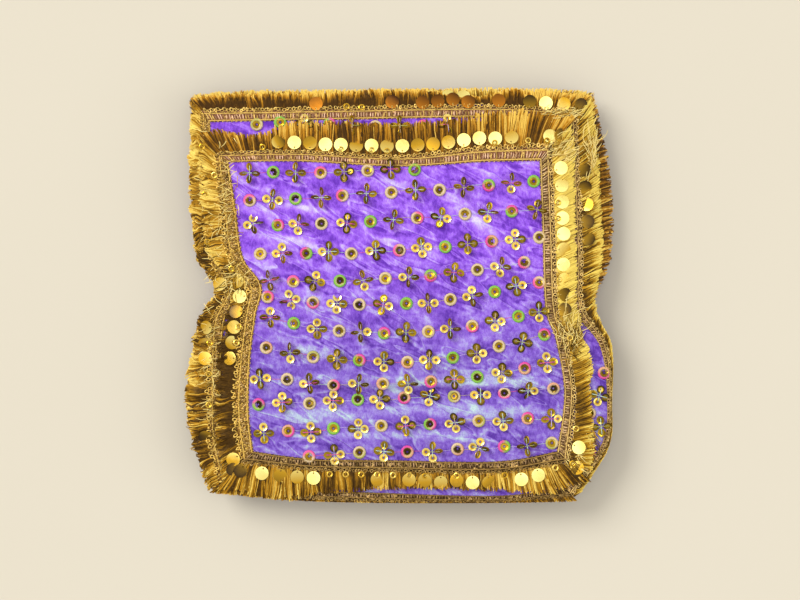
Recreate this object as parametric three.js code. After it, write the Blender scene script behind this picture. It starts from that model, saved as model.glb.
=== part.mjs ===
// A velvet chunri folded into a flat square packet and laid on a table, in millimetres, +Z up.
// Three stretches of velvet show, each edged on its four sides with a braid and a tinsel fringe.
// The layers below them are one rounded solid with layered edges, flat where it rests.
// +X is the packet's right, +Y its back, and the origin is on the table under its middle.
import * as THREE from 'three';

// ---------------------------------------------------------------- driving dimensions

const SEAM = 0.3; // clearance between two pieces that lie on each other
const VELVET = 1.5; // velvet wall, pile included
const BRAID = 1.2; // braid, where it is sewn on the velvet
const TINSEL = { root: 1.2, tip: 1 }; // fringe, from where it is sewn to its free ends

// The hidden layers: so many folded edges, one above the other, each bulging between two grooves.
// Their side is rounded, and each fold sways in and out a little on its way round.
const HIDDEN = { folds: 6, fold: 3.1, bulge: 1, groove: 3.2, heel: 6, round: 3, sway: 0.9 };
const STACK = HIDDEN.folds * HIDDEN.fold;

// The packet is fuller in the middle than at its edges.
const CROWN = { rise: 3, halfX: 150, halfY: 146 };

// How high each stretch lies over the hidden layers. A stretch clears the braid of the one below.
const THIRD_LEVEL = SEAM;
const SECOND_LEVEL = THIRD_LEVEL + VELVET + SEAM + BRAID + SEAM;
const TOP_LEVEL = SECOND_LEVEL + VELVET + SEAM;

// Cells across and along a stretch of velvet, and across a fringe.
const CELLS = { top: [20, 22], under: [10, 13] };
const FRINGE_CELLS = 2;

// Near a corner the trim turns round it: how sharply, and how much shorter its corner is.
const MITRE = 3;
const FAN = { sharpness: 8, trim: 0.25 };

// ---------------------------------------------------------------- the stretches that show

// Each side of a stretch has a short table, walked anticlockwise from corner to corner:
//   at     place along the side, in X on front and back, in Y on right and left
//   line   where the velvet meets the braid, in the other direction
//   braid  width of the braid
//   reach  how far the tinsel stands out beyond the braid
const TOP = {
  name: 'top',
  level: TOP_LEVEL,
  cells: CELLS.top,
  droop: 0.02,
  front: [
    { at: -101, line: -108, braid: 9, reach: 14 },
    { at: -62, line: -113, braid: 9, reach: 14 },
    { at: -10, line: -114, braid: 9, reach: 10 },
    { at: 66, line: -115, braid: 9, reach: 10 },
    { at: 108, line: -108, braid: 9, reach: 18 },
  ],
  right: [
    { at: -108, line: 108, braid: 10, reach: 22 },
    { at: -68, line: 113, braid: 9, reach: 16 },
    { at: -31, line: 107, braid: 9, reach: 10 },
    { at: -10, line: 100, braid: 10, reach: 15 },
    { at: 40, line: 98, braid: 10, reach: 17 },
    { at: 92, line: 96, braid: 10, reach: 17 },
  ],
  back: [
    { at: 96, line: 92, braid: 13, reach: 17 },
    { at: 55, line: 91, braid: 12, reach: 17 },
    { at: 0, line: 88, braid: 9, reach: 17 },
    { at: -70, line: 91.5, braid: 8.5, reach: 16 },
    { at: -118, line: 91, braid: 8, reach: 14 },
  ],
  left: [
    { at: 91, line: -118, braid: 11, reach: 12 },
    { at: 60, line: -113, braid: 13, reach: 11 },
    { at: 26, line: -108, braid: 13, reach: 10 },
    { at: 6, line: -95, braid: 13, reach: 7 },
    { at: -14, line: -99, braid: 11, reach: 9 },
    { at: -45, line: -103, braid: 11, reach: 9 },
    { at: -80, line: -104, braid: 12, reach: 10 },
    { at: -108, line: -101, braid: 11, reach: 12 },
  ],
};

const SECOND = {
  name: 'second',
  level: SECOND_LEVEL,
  cells: CELLS.under,
  droop: 0.1,
  front: [
    { at: -116, line: -125, braid: 8, reach: 6 },
    { at: -70, line: -134, braid: 7, reach: 2 },
    { at: -10, line: -137, braid: 6.5, reach: 1 },
    { at: 66, line: -139, braid: 4.5, reach: 1 },
    { at: 114, line: -134, braid: 6, reach: 4 },
  ],
  right: [
    { at: -134, line: 114, braid: 6, reach: 4 },
    { at: -104, line: 139, braid: 4, reach: 2 },
    { at: -72, line: 143, braid: 3, reach: 1 },
    { at: -36, line: 138, braid: 6, reach: 3 },
    { at: -8, line: 119, braid: 9, reach: 8 },
    { at: 30, line: 118, braid: 9, reach: 14 },
    { at: 119, line: 114, braid: 9, reach: 14 },
  ],
  back: [
    { at: 114, line: 119, braid: 10, reach: 11 },
    { at: 60, line: 122, braid: 10, reach: 10 },
    { at: -40, line: 120.5, braid: 10, reach: 10 },
    { at: -131, line: 119, braid: 10, reach: 9 },
  ],
  left: [
    { at: 119, line: -131, braid: 8, reach: 8 },
    { at: 60, line: -129, braid: 8, reach: 9 },
    { at: 26, line: -125, braid: 8, reach: 8 },
    { at: 3, line: -113, braid: 9, reach: 7 },
    { at: -20, line: -121, braid: 11, reach: 8 },
    { at: -60, line: -123, braid: 11, reach: 14 },
    { at: -100, line: -122, braid: 11, reach: 12 },
    { at: -125, line: -116, braid: 10, reach: 9 },
  ],
};

const THIRD = {
  name: 'third',
  level: THIRD_LEVEL,
  cells: CELLS.under,
  droop: 0.6,
  front: [
    { at: -114, line: -124, braid: 8, reach: 8 },
    { at: 0, line: -131, braid: 8, reach: 4 },
    { at: 112, line: -125, braid: 8, reach: 7 },
  ],
  right: [
    { at: -125, line: 112, braid: 8, reach: 7 },
    { at: -66, line: 128, braid: 8, reach: 8 },
    { at: -12, line: 117, braid: 9, reach: 9 },
    { at: 24, line: 126, braid: 9, reach: 12 },
    { at: 76, line: 127, braid: 9, reach: 12 },
    { at: 124, line: 118, braid: 9, reach: 11 },
  ],
  back: [
    { at: 118, line: 124, braid: 9, reach: 10 },
    { at: 0, line: 124, braid: 9, reach: 10 },
    { at: -130, line: 122, braid: 9, reach: 10 },
  ],
  left: [
    { at: 122, line: -130, braid: 8, reach: 9 },
    { at: 60, line: -129, braid: 8, reach: 9 },
    { at: 26, line: -126, braid: 8, reach: 8 },
    { at: 3, line: -115, braid: 8, reach: 6 },
    { at: -24, line: -125, braid: 8, reach: 10 },
    { at: -80, line: -131, braid: 9, reach: 9 },
    { at: -124, line: -114, braid: 9, reach: 9 },
  ],
};

const SIDES = [
  { name: 'front', outward: new THREE.Vector2(0, -1), next: 'right', before: 'left' },
  { name: 'right', outward: new THREE.Vector2(1, 0), next: 'back', before: 'front' },
  { name: 'back', outward: new THREE.Vector2(0, 1), next: 'left', before: 'right' },
  { name: 'left', outward: new THREE.Vector2(-1, 0), next: 'front', before: 'back' },
];

// The large folds of the top stretch, each a soft ridge between two points.
const FOLDS = [
  { from: [-104, 46], to: [-50, 30], rise: 1.6, half: 6 },
  { from: [-90, 2], to: [-46, -8], rise: 1.8, half: 6 },
  { from: [-66, -63], to: [104, -63], rise: 2.2, half: 5 },
  { from: [-92, -84], to: [96, -86], rise: 1.4, half: 7 },
  { from: [22, -46], to: [66, -24], rise: 1.5, half: 6 },
  { from: [70, -14], to: [98, -34], rise: 1.6, half: 6 },
];

// ---------------------------------------------------------------- edges and heights

const sideNamed = (name) => SIDES.find((side) => side.name === name);

// One row of a side's table, at a share t of the way along it, on a smooth curve through the rows.
function rowAt(rows, t) {
  const position = t * (rows.length - 1);
  const first = Math.min(Math.floor(position), rows.length - 2);
  const f = position - first;
  const clamped = (index) => rows[THREE.MathUtils.clamp(index, 0, rows.length - 1)];
  const [before, start, end, after] = [-1, 0, 1, 2].map((step) => clamped(first + step));
  const row = {};
  for (const column of Object.keys(start)) {
    const [a, b, c, d] = [before, start, end, after].map((entry) => entry[column]);
    const cubic = 3 * (b - c) + d - a;
    const square = 2 * a - 5 * b + 4 * c - d;
    row[column] = b + 0.5 * f * (c - a + f * (square + f * cubic));
  }
  return row;
}

const alongX = (side) => side.outward.x === 0;

// The point on the velvet's line at t, moved outwards by a distance worked out from the row.
// At a corner both sides move it, so the two trims meet on one slanting line.
function place(stretch, side, t, distance) {
  const row = rowAt(stretch[side.name], t);
  const next = sideNamed(side.next);
  const before = sideNamed(side.before);
  const nextRow = rowAt(stretch[side.next], 0);
  const beforeRow = rowAt(stretch[side.before], 1);
  const point = alongX(side) ? new THREE.Vector2(row.at, row.line) : new THREE.Vector2(row.line, row.at);
  const corner = Math.abs(2 * t - 1) ** FAN.sharpness;
  point.addScaledVector(side.outward, distance(row, corner));
  point.addScaledVector(next.outward, distance(nextRow, 1) * t ** MITRE);
  point.addScaledVector(before.outward, distance(beforeRow, 1) * (1 - t) ** MITRE);
  return point;
}

const atLine = () => 0;
const atRim = (row) => row.braid;
const insideRim = (inset) => (row) => row.braid - inset;
const alongFringe = (share) => (row, corner) => {
  const start = row.braid + SEAM;
  const reach = Math.max(row.reach - SEAM, SEAM) * (1 - FAN.trim * corner);
  return start + share * reach;
};

function crownAt(point) {
  const across = Math.max(0, 1 - (point.x / CROWN.halfX) ** 2);
  const along = Math.max(0, 1 - (point.y / CROWN.halfY) ** 2);
  return CROWN.rise * across * along;
}

// Height of a fold's soft ridge over a point: a bell across it, fading out past its two ends.
function ridgeAt(fold, point) {
  const from = new THREE.Vector2(...fold.from);
  const run = new THREE.Vector2(...fold.to).sub(from);
  const offset = point.clone().sub(from);
  const share = THREE.MathUtils.clamp(offset.dot(run) / run.lengthSq(), 0, 1);
  const distance = offset.sub(run.multiplyScalar(share)).length();
  return fold.rise * Math.exp(-((distance / fold.half) ** 2));
}

// Height of a stretch's underside.
function underside(stretch, point) {
  const folds = stretch === TOP ? FOLDS : [];
  const ridges = folds.reduce((sum, fold) => sum + ridgeAt(fold, point), 0);
  return STACK + crownAt(point) + stretch.level + ridges;
}

// ---------------------------------------------------------------- closed solids

function geometryOf(points, faces) {
  const geometry = new THREE.BufferGeometry();
  const numbers = points.flatMap((point) => [point.x, point.y, point.z]);
  geometry.setAttribute('position', new THREE.Float32BufferAttribute(numbers, 3));
  geometry.setIndex(faces.flat());
  geometry.computeVertexNormals();
  return geometry;
}

const halves = (a, b, c, d) => [[a, b, c], [a, c, d]];

// A wall from a sheet of points that each have a top and a bottom height. The quads turn
// anticlockwise seen from above, and so does the border that the wall is closed along.
function wallFrom(sheet, quads, border) {
  const upper = sheet.map((point) => new THREE.Vector3(point.x, point.y, point.top));
  const lower = sheet.map((point) => new THREE.Vector3(point.x, point.y, point.bottom));
  const under = sheet.length;
  const faces = [];
  for (const [a, b, c, d] of quads) {
    faces.push(...halves(a, b, c, d));
    faces.push(...halves(under + d, under + c, under + b, under + a));
  }
  border.forEach((a, index) => {
    const b = border[(index + 1) % border.length];
    faces.push(...halves(under + a, under + b, b, a));
  });
  return geometryOf([...upper, ...lower], faces);
}

// ---------------------------------------------------------------- velvet

// A point inside the four lines of a stretch, at shares u across and v along it.
function insideLines(stretch, u, v) {
  const edge = (name, t) => place(stretch, sideNamed(name), t, atLine);
  const front = edge('front', u);
  const back = edge('back', 1 - u);
  const left = edge('left', 1 - v);
  const right = edge('right', v);
  const point = front.clone().multiplyScalar(1 - v).addScaledVector(back, v);
  point.addScaledVector(left, 1 - u).addScaledVector(right, u);
  point.addScaledVector(edge('front', 0), -(1 - u) * (1 - v));
  point.addScaledVector(edge('front', 1), -u * (1 - v));
  point.addScaledVector(edge('back', 0), -u * v);
  point.addScaledVector(edge('back', 1), -(1 - u) * v);
  return point;
}

// The stations round a stretch: each side's own ones, without its last corner.
function stationsRound(stretch) {
  const [across, along] = stretch.cells;
  return SIDES.flatMap((side) => {
    const count = alongX(side) ? across : along;
    return Array.from({ length: count }, (_, index) => ({ side, t: index / count }));
  });
}

function velvetGeometry(stretch) {
  const [across, along] = stretch.cells;
  const sheet = [];
  const add = (point) => {
    const bottom = underside(stretch, point);
    return sheet.push({ x: point.x, y: point.y, bottom, top: bottom + VELVET }) - 1;
  };
  const grid = [];
  for (let i = 0; i <= across; i += 1) {
    const column = Array.from({ length: along + 1 }, (_, j) => j / along);
    grid.push(column.map((v) => add(insideLines(stretch, i / across, v))));
  }
  const quads = [];
  for (let i = 0; i < across; i += 1) {
    for (let j = 0; j < along; j += 1) {
      quads.push([grid[i][j], grid[i + 1][j], grid[i + 1][j + 1], grid[i][j + 1]]);
    }
  }
  const line = [];
  for (let i = 0; i < across; i += 1) line.push(grid[i][0]);
  for (let j = 0; j < along; j += 1) line.push(grid[across][j]);
  for (let i = across; i > 0; i -= 1) line.push(grid[i][along]);
  for (let j = along; j > 0; j -= 1) line.push(grid[0][j]);
  const rim = stationsRound(stretch).map(({ side, t }) => add(place(stretch, side, t, atRim)));
  rim.forEach((outer, index) => {
    const following = (index + 1) % rim.length;
    quads.push([outer, rim[following], line[following], line[index]]);
  });
  return wallFrom(sheet, quads, rim);
}

// ---------------------------------------------------------------- braid and fringe

// A strip along one side, of a few rows of points, each row further out than the one before.
function stripGeometry(stretch, side, rows) {
  const [across, along] = stretch.cells;
  const count = alongX(side) ? across : along;
  const from = place(stretch, side, 0, atLine);
  const to = place(stretch, side, 1, atLine);
  const clear = SEAM / from.distanceTo(to);
  const sheet = [];
  for (let index = 0; index <= count; index += 1) {
    const t = THREE.MathUtils.lerp(clear, 1 - clear, index / count);
    for (const row of rows) {
      const point = place(stretch, side, t, row.distance);
      const bottom = underside(stretch, point) + row.over(rowAt(stretch[side.name], t));
      sheet.push({ x: point.x, y: point.y, bottom, top: bottom + row.wall });
    }
  }
  const width = rows.length;
  const quads = [];
  for (let index = 0; index < count; index += 1) {
    for (let step = 0; step < width - 1; step += 1) {
      const inner = index * width + step;
      quads.push([inner, inner + 1, inner + width + 1, inner + width]);
    }
  }
  const steps = Array.from({ length: width - 1 }, (_, step) => step);
  const stations = Array.from({ length: count }, (_, index) => index);
  const border = [
    ...steps,
    ...stations.map((index) => index * width + width - 1),
    ...steps.map((step) => count * width + width - 1 - step),
    ...stations.map((index) => (count - index) * width),
  ];
  return wallFrom(sheet, quads, border);
}

function braidGeometry(stretch, side) {
  const over = () => VELVET + SEAM;
  const rows = [atLine, atRim].map((distance) => ({ distance, over, wall: BRAID }));
  return stripGeometry(stretch, side, rows);
}

// The tinsel leaves the braid's height, thins towards its free ends and droops a little.
function fringeGeometry(stretch, side) {
  const rows = [];
  for (let step = 0; step <= FRINGE_CELLS; step += 1) {
    const share = step / FRINGE_CELLS;
    rows.push({
      distance: alongFringe(share),
      over: (row) => VELVET + SEAM - stretch.droop * row.reach * share ** 2,
      wall: THREE.MathUtils.lerp(TINSEL.root, TINSEL.tip, share),
    });
  }
  return stripGeometry(stretch, side, rows);
}

// ---------------------------------------------------------------- hidden layers

// The outline of the hidden layers at a height, at an inset from the lowest stretch's rim.
function hiddenRing(inset, height, fold) {
  const rounding = HIDDEN.round * (2 * height / STACK - 1) ** 2;
  return stationsRound(THIRD).map(({ side, t }) => {
    const turn = (SIDES.indexOf(side) + t) / SIDES.length;
    const sway = HIDDEN.sway * (1 + Math.sin(2 * Math.PI * (3 * turn + 0.3 * fold)));
    const point = place(THIRD, side, t, insideRim(inset + rounding + sway));
    return new THREE.Vector3(point.x, point.y, height);
  });
}

function hiddenRings() {
  const rings = [hiddenRing(HIDDEN.heel, 0, 0)];
  for (let fold = 0; fold < HIDDEN.folds; fold += 1) {
    const foot = fold * HIDDEN.fold;
    if (fold > 0) rings.push(hiddenRing(HIDDEN.groove, foot, fold));
    rings.push(hiddenRing(HIDDEN.bulge, foot + HIDDEN.fold * 0.3, fold));
    rings.push(hiddenRing(HIDDEN.bulge, foot + HIDDEN.fold * 0.7, fold));
  }
  const shoulder = hiddenRing(HIDDEN.heel, STACK, HIDDEN.folds);
  for (const share of [1, 0.75, 0.4]) {
    rings.push(shoulder.map((point) => {
      const moved = point.clone().multiplyScalar(share);
      return moved.setZ(STACK + crownAt(moved));
    }));
  }
  return rings;
}

function hiddenGeometry() {
  const rings = hiddenRings();
  const round = rings[0].length;
  const points = [...rings.flat(), new THREE.Vector3(0, 0, 0), new THREE.Vector3(0, 0, STACK + CROWN.rise)];
  const [lowest, highest] = [points.length - 2, points.length - 1];
  const last = (rings.length - 1) * round;
  const faces = [];
  for (let station = 0; station < round; station += 1) {
    const following = (station + 1) % round;
    faces.push([lowest, following, station]);
    faces.push([highest, last + station, last + following]);
    for (let ring = 0; ring < rings.length - 1; ring += 1) {
      const [lower, upper] = [ring * round, (ring + 1) * round];
      faces.push(...halves(lower + station, lower + following, upper + following, upper + station));
    }
  }
  return geometryOf(points, faces);
}

// ---------------------------------------------------------------- the packet

const FINISHES = {
  velvet: { color: 0x7d4fe0, roughness: 0.85, metalness: 0 },
  shadedVelvet: { color: 0x5b34b4, roughness: 0.9, metalness: 0 },
  braid: { color: 0xb08438, roughness: 0.5, metalness: 0.7 },
  tinsel: { color: 0xd8a53c, roughness: 0.4, metalness: 0.8 },
};

function meshOf(name, geometry, finish) {
  const mesh = new THREE.Mesh(geometry, new THREE.MeshStandardMaterial(FINISHES[finish]));
  mesh.name = name;
  return mesh;
}

function stretchGroup(stretch) {
  const group = new THREE.Group();
  group.add(meshOf(`${stretch.name}_velvet`, velvetGeometry(stretch), 'velvet'));
  for (const side of SIDES) {
    group.add(meshOf(`${stretch.name}_braid_${side.name}`, braidGeometry(stretch, side), 'braid'));
    group.add(meshOf(`${stretch.name}_fringe_${side.name}`, fringeGeometry(stretch, side), 'tinsel'));
  }
  return group;
}

const packet = new THREE.Group();
packet.add(meshOf('hidden_layers', hiddenGeometry(), 'shadedVelvet'));
for (const stretch of [THIRD, SECOND, TOP]) packet.add(stretchGroup(stretch));

export default packet;
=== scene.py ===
"""A velvet chunri folded into a flat square packet, and its dressing.

Three stretches of crushed velvet lie over a stack of folded edges. Each is edged
with a woven braid, a row of flat sequins and a tinsel fringe, and the top one is
worked all over with sequin flowers and thread rings. Sizes are in millimetres
until a mesh is laid in place, and then in metres.
"""

import logging
import math
import random
from dataclasses import dataclass, field
from enum import Enum

import bmesh
import bpy
import numpy as np
from mathutils import Matrix, Vector, noise

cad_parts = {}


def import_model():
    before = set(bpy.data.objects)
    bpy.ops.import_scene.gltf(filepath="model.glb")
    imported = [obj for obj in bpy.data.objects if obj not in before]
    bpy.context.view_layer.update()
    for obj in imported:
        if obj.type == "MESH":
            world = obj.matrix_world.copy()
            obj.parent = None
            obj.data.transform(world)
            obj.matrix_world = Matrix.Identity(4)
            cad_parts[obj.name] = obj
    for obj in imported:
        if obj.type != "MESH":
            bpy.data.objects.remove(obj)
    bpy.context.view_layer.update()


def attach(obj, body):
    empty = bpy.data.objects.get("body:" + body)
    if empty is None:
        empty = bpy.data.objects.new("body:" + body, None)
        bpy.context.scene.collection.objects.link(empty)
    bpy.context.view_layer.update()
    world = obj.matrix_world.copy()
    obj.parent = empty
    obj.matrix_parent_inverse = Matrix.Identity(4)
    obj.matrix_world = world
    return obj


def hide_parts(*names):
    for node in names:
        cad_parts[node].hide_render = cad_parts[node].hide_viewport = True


LOG = logging.getLogger("chunri")
MM = 0.001

# The height of the hidden layers, the crown over them, and a velvet's face over its underside.
STACK = 18.6
CROWN_RISE = 3.0
CROWN_HALF = (150.0, 146.0)
VELVET = 1.5
# The waist at both sides, where the velvet crumples most: its place and its half size.
WAIST = (103.0, -8.0)
WAIST_HALF = (22.0, 34.0)
# The braid's flat width, what the seam takes of the tinsel's reach and lifts it by, the share
# that it loses at a corner, and two powers: the higher, the nearer to its end a side feels the
# corner, or joins the next side.
BRAID_WIDTH = 10.0
SEAM = 0.3
CORNER_TRIM = 0.25
CORNER_SHARPNESS = 8
MITRE = 12
# How many places an edge is measured at, and how far to each side a slope is read.
STATIONS = 400
NUDGE = 1.5

Point = tuple[float, float]
Place = tuple[float, float, float]
Colour = tuple[float, float, float]
WHITE: Colour = (1.0, 1.0, 1.0)


# ------------------------------------------------------------------ edges of a stretch


class Side(Enum):
    """A side of a stretch. The sides are walked anticlockwise, seen from above."""

    FRONT = 0
    RIGHT = 1
    BACK = 2
    LEFT = 3

    @property
    def outward(self) -> np.ndarray:
        """Return the direction away from the middle."""
        return np.array(((0.0, -1.0), (1.0, 0.0), (0.0, 1.0), (-1.0, 0.0))[self.value])

    @property
    def along_x(self) -> bool:
        """Return whether the side runs along X."""
        return self.value % 2 == 0

    @property
    def following(self) -> "Side":
        """Return the side that comes after this one."""
        return Side((self.value + 1) % 4)

    @property
    def preceding(self) -> "Side":
        """Return the side that comes before this one."""
        return Side((self.value + 3) % 4)


class Zone(Enum):
    """A band of the trim, with the share of the way out where it starts and how wide it is."""

    BRAID = (0.0, 1.0 / BRAID_WIDTH, 0.5)
    FRINGE = (1.0, 1.0, 1.45)

    @property
    def start(self) -> float:
        """Return the share at the band's inner edge."""
        return self.value[0]

    @property
    def scale(self) -> float:
        """Return how much share one unit of the flat strip's width stands for."""
        return self.value[1]

    @property
    def measured(self) -> float:
        """Return the share along which the band's length is measured."""
        return self.value[2]


@dataclass(frozen=True)
class Crease:
    """A soft ridge along a line, or a trough where its rise is negative.

    Left and right are how broadly it fades out to each side, and it bows to its left.
    """

    start: Point
    end: Point
    rise: float
    left: float
    right: float
    bow: float = 0.0

    def height(self, x: np.ndarray, y: np.ndarray) -> np.ndarray:
        """Work out the crease's height over points.

        Args:
            x: The points' places along X.
            y: The points' places along Y.

        Returns:
            The height over each point.
        """
        run = np.subtract(self.end, self.start)
        length = float(np.hypot(*run))
        run = run / length
        along = (x - self.start[0]) * run[0] + (y - self.start[1]) * run[1]
        aside = (y - self.start[1]) * run[0] - (x - self.start[0]) * run[1]
        share = np.clip(along / length, 0.0, 1.0)
        aside = aside - self.bow * np.sin(np.pi * share)
        half = np.where(aside > 0, self.left, self.right)
        beyond = (along - share * length) / (self.left + self.right)
        fullness = 0.5 + 0.5 * np.sin(np.pi * share) ** 0.6
        return self.rise * fullness * np.exp(-((aside / half) ** 2) - beyond**2)


def ripple(x: np.ndarray, y: np.ndarray, scale: float, seed: float) -> np.ndarray:
    """Smooth noise over points, the same on every run.

    Args:
        x: The points' places along X.
        y: The points' places along Y.
        scale: The size of one ripple.
        seed: A number that picks the pattern.

    Returns:
        A value from about -1 to 1 for each point.
    """
    pairs = zip(np.ravel(x) / scale, np.ravel(y) / scale)
    values = [noise.noise(Vector((a, b, seed))) for a, b in pairs]
    return np.reshape(values, np.shape(x))


def read_points(mesh: bpy.types.Mesh) -> np.ndarray:
    """Read a mesh's points.

    Args:
        mesh: The mesh.

    Returns:
        The points, one row each.
    """
    points = np.zeros(len(mesh.vertices) * 3)
    mesh.vertices.foreach_get("co", points)
    return points.reshape(-1, 3)


def write_points(mesh: bpy.types.Mesh, points: np.ndarray) -> None:
    """Put points back in a mesh."""
    mesh.vertices.foreach_set("co", np.ascontiguousarray(points, dtype=float).ravel())
    mesh.update()


@dataclass
class Stretch:
    """A stretch of velvet that shows, with the table of each of its edges.

    A row of a table is (place along the side, line where velvet meets braid, width of the braid,
    reach of the tinsel). The level is its height over the hidden layers, the droop how far the
    tinsel's ends fall for each millimetre of reach, and the crumple the height of its small
    crumples. The flat size is in metres, and is not used. A crushed streak is painted paler by its
    rise, a painted sheen, or deeper where that is negative, a painted shade.
    """

    name: str
    level: float
    droop: float
    cells: int
    flat: Point
    edges: dict[Side, tuple[tuple[float, float, float, float], ...]]
    creases: tuple[Crease, ...] = ()
    # Streaks of painted sheen where their rise is positive, and of painted shade where it is
    # negative.
    crushed: tuple[Crease, ...] = ()
    crumple: float = 0.25

    def row(self, side: Side, t: np.ndarray) -> np.ndarray:
        """Work out an edge's row on a smooth curve through the table.

        Args:
            side: The side to look up.
            t: Shares of the way along the side.

        Returns:
            One row for each share.
        """
        table = np.array(self.edges[side], float)
        last = len(table) - 1
        position = np.clip(t, 0.0, 1.0) * last
        first = np.minimum(np.floor(position), last - 1).astype(int)
        f = (position - first)[:, None]
        a, b, c, d = (table[np.clip(first + step, 0, last)] for step in (-1, 0, 1, 2))
        cubic = 3 * (b - c) + d - a
        square = 2 * a - 5 * b + 4 * c - d
        return b + 0.5 * f * (c - a + f * (square + f * cubic))

    @staticmethod
    def distance(
        row: np.ndarray, corner: np.ndarray, share: np.ndarray, extra: float
    ) -> np.ndarray:
        """Work out how far outside the velvet's line a share of the trim lies.

        Args:
            row: The edge's rows.
            corner: How near each point is to a corner, from 0 to 1.
            share: 0 at the line, 1 at the braid's rim and 2 at the tinsel's free ends.
            extra: Millimetres added to it.

        Returns:
            The distance for each row.
        """
        beyond = np.clip(share - 1.0, 0.0, None)
        reach = np.maximum(row[:, 3] - SEAM, SEAM) * (1.0 - CORNER_TRIM * corner)
        return np.clip(share, 0.0, 1.0) * row[:, 2] + beyond * reach + extra

    def walk(
        self, side: Side, t: np.ndarray, share: np.ndarray, extra: float = 0.0
    ) -> tuple[np.ndarray, np.ndarray]:
        """Find points of the trim, turning its corners with its two neighbours.

        Args:
            side: The side that the points belong to.
            t: Shares of the way along the side.
            share: Shares of the way out, one for each t.
            extra: Millimetres further out.

        Returns:
            The points' places along X and along Y.
        """
        t, share = np.broadcast_arrays(np.atleast_1d(t), np.atleast_1d(share))
        row = self.row(side, t)
        lines = (row[:, 0], row[:, 1]) if side.along_x else (row[:, 1], row[:, 0])
        point = np.stack(lines, axis=1).astype(float)
        corner = np.abs(2 * t - 1) ** CORNER_SHARPNESS
        point += self.distance(row, corner, share, extra)[:, None] * side.outward
        for other, end, weight in (
            (side.following, 0.0, t**MITRE), (side.preceding, 1.0, (1 - t) ** MITRE),
        ):
            end_row = np.repeat(self.row(other, np.array([end])), len(t), axis=0)
            out = self.distance(end_row, np.ones(len(t)), share, extra)
            point += (out * weight)[:, None] * other.outward
        return point[:, 0], point[:, 1]

    def height(self, x: np.ndarray, y: np.ndarray) -> np.ndarray:
        """Work out the height of the velvet's underside.

        Args:
            x: Places along X.
            y: Places along Y.

        Returns:
            The height at each place.
        """
        across = np.clip(1 - (x / CROWN_HALF[0]) ** 2, 0, None)
        along = np.clip(1 - (y / CROWN_HALF[1]) ** 2, 0, None)
        z = STACK + CROWN_RISE * across * along + self.level
        for crease in self.creases:
            z = z + crease.height(x, y)
        beside, before = (np.abs(x) - WAIST[0]) / WAIST_HALF[0], (y - WAIST[1]) / WAIST_HALF[1]
        waist = np.exp(-(beside**2) - before**2)
        loose = self.crumple * (0.55 + 1.6 * waist)
        return z + loose * (ripple(x, y, 15, 3.1) + 0.5 * ripple(x, y, 6.5, 8.7))

    def height_at(self, x: float, y: float) -> float:
        """Return the height of the velvet's underside at one place."""
        return float(self.height(np.array([x]), np.array([y]))[0])

    def length(self, side: Side, zone: Zone) -> float:
        """Return the length of a band along a side."""
        return float(self._stations(side, zone)[1][-1])

    def share_at(self, side: Side, zone: Zone, along: np.ndarray) -> np.ndarray:
        """Return the shares of the way along a side at lengths along a band."""
        t, lengths = self._stations(side, zone)
        return np.interp(along, lengths, t)

    def _stations(self, side: Side, zone: Zone) -> tuple[np.ndarray, np.ndarray]:
        """Measure a band along a side.

        Args:
            side: The side.
            zone: The band.

        Returns:
            Shares of the way along the side, and the length of the band up to each.
        """
        t = np.linspace(0, 1, STATIONS)
        x, y = self.walk(side, t, np.full(STATIONS, zone.measured))
        steps = np.hypot(np.diff(x), np.diff(y))
        return t, np.concatenate(([0.0], np.cumsum(steps)))

    def lay(self, mesh: bpy.types.Mesh, side: Side, zone: Zone, lift: float) -> None:
        """Lay a mesh that was made as a flat strip on a side, and turn it into metres.

        Args:
            mesh: The flat strip, X along the side, Y across the band, Z its height.
            side: The side it goes on.
            zone: The band it goes on.
            lift: Its height over the velvet's underside.
        """
        flat = read_points(mesh)
        share = zone.start + flat[:, 1] * zone.scale
        t = self.share_at(side, zone, flat[:, 0])
        x, y = self.walk(side, t, share)
        fallen = self.row(side, t)[:, 3] * np.clip(share - 1, 0, None) ** 2
        z = self.height(x, y) + lift + flat[:, 2] - self.droop * fallen
        write_points(mesh, np.stack((x, y, z), axis=1) * MM)
        mesh.flip_normals()

    def normal(self, x: float, y: float) -> Vector:
        """Find which way is up from the velvet.

        Args:
            x: The place along X.
            y: The place along Y.

        Returns:
            The upward direction there.
        """
        xs = np.array([x + NUDGE, x - NUDGE, x, x])
        ys = np.array([y, y, y + NUDGE, y - NUDGE])
        z = self.height(xs, ys)
        apart = 2 * NUDGE
        return Vector((-(z[0] - z[1]) / apart, -(z[2] - z[3]) / apart, 1)).normalized()

    def sheet_points(self, u: np.ndarray, v: np.ndarray) -> tuple[np.ndarray, ...]:
        """Find points of the velvet, between its four rims.

        Args:
            u: Shares of the way across.
            v: Shares of the way along.

        Returns:
            The points' places along X, along Y, and the height of the velvet's top.
        """
        rim = np.ones(len(u))
        front = self.walk(Side.FRONT, u, rim)
        back = self.walk(Side.BACK, 1 - u, rim)
        left = self.walk(Side.LEFT, 1 - v, rim)
        right = self.walk(Side.RIGHT, v, rim)
        ends = np.array([0.0, 1.0])
        front_ends = self.walk(Side.FRONT, ends, np.ones(2))
        back_ends = self.walk(Side.BACK, 1 - ends, np.ones(2))
        x, y = (
            (1 - v) * front[i]
            + v * back[i]
            + (1 - u) * left[i]
            + u * right[i]
            - (1 - u) * (1 - v) * front_ends[i][0]
            - u * (1 - v) * front_ends[i][1]
            - (1 - u) * v * back_ends[i][0]
            - u * v * back_ends[i][1]
            for i in (0, 1)
        )
        return x, y, self.height(x, y) + VELVET


# ------------------------------------------------------------------ small shapes


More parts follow.
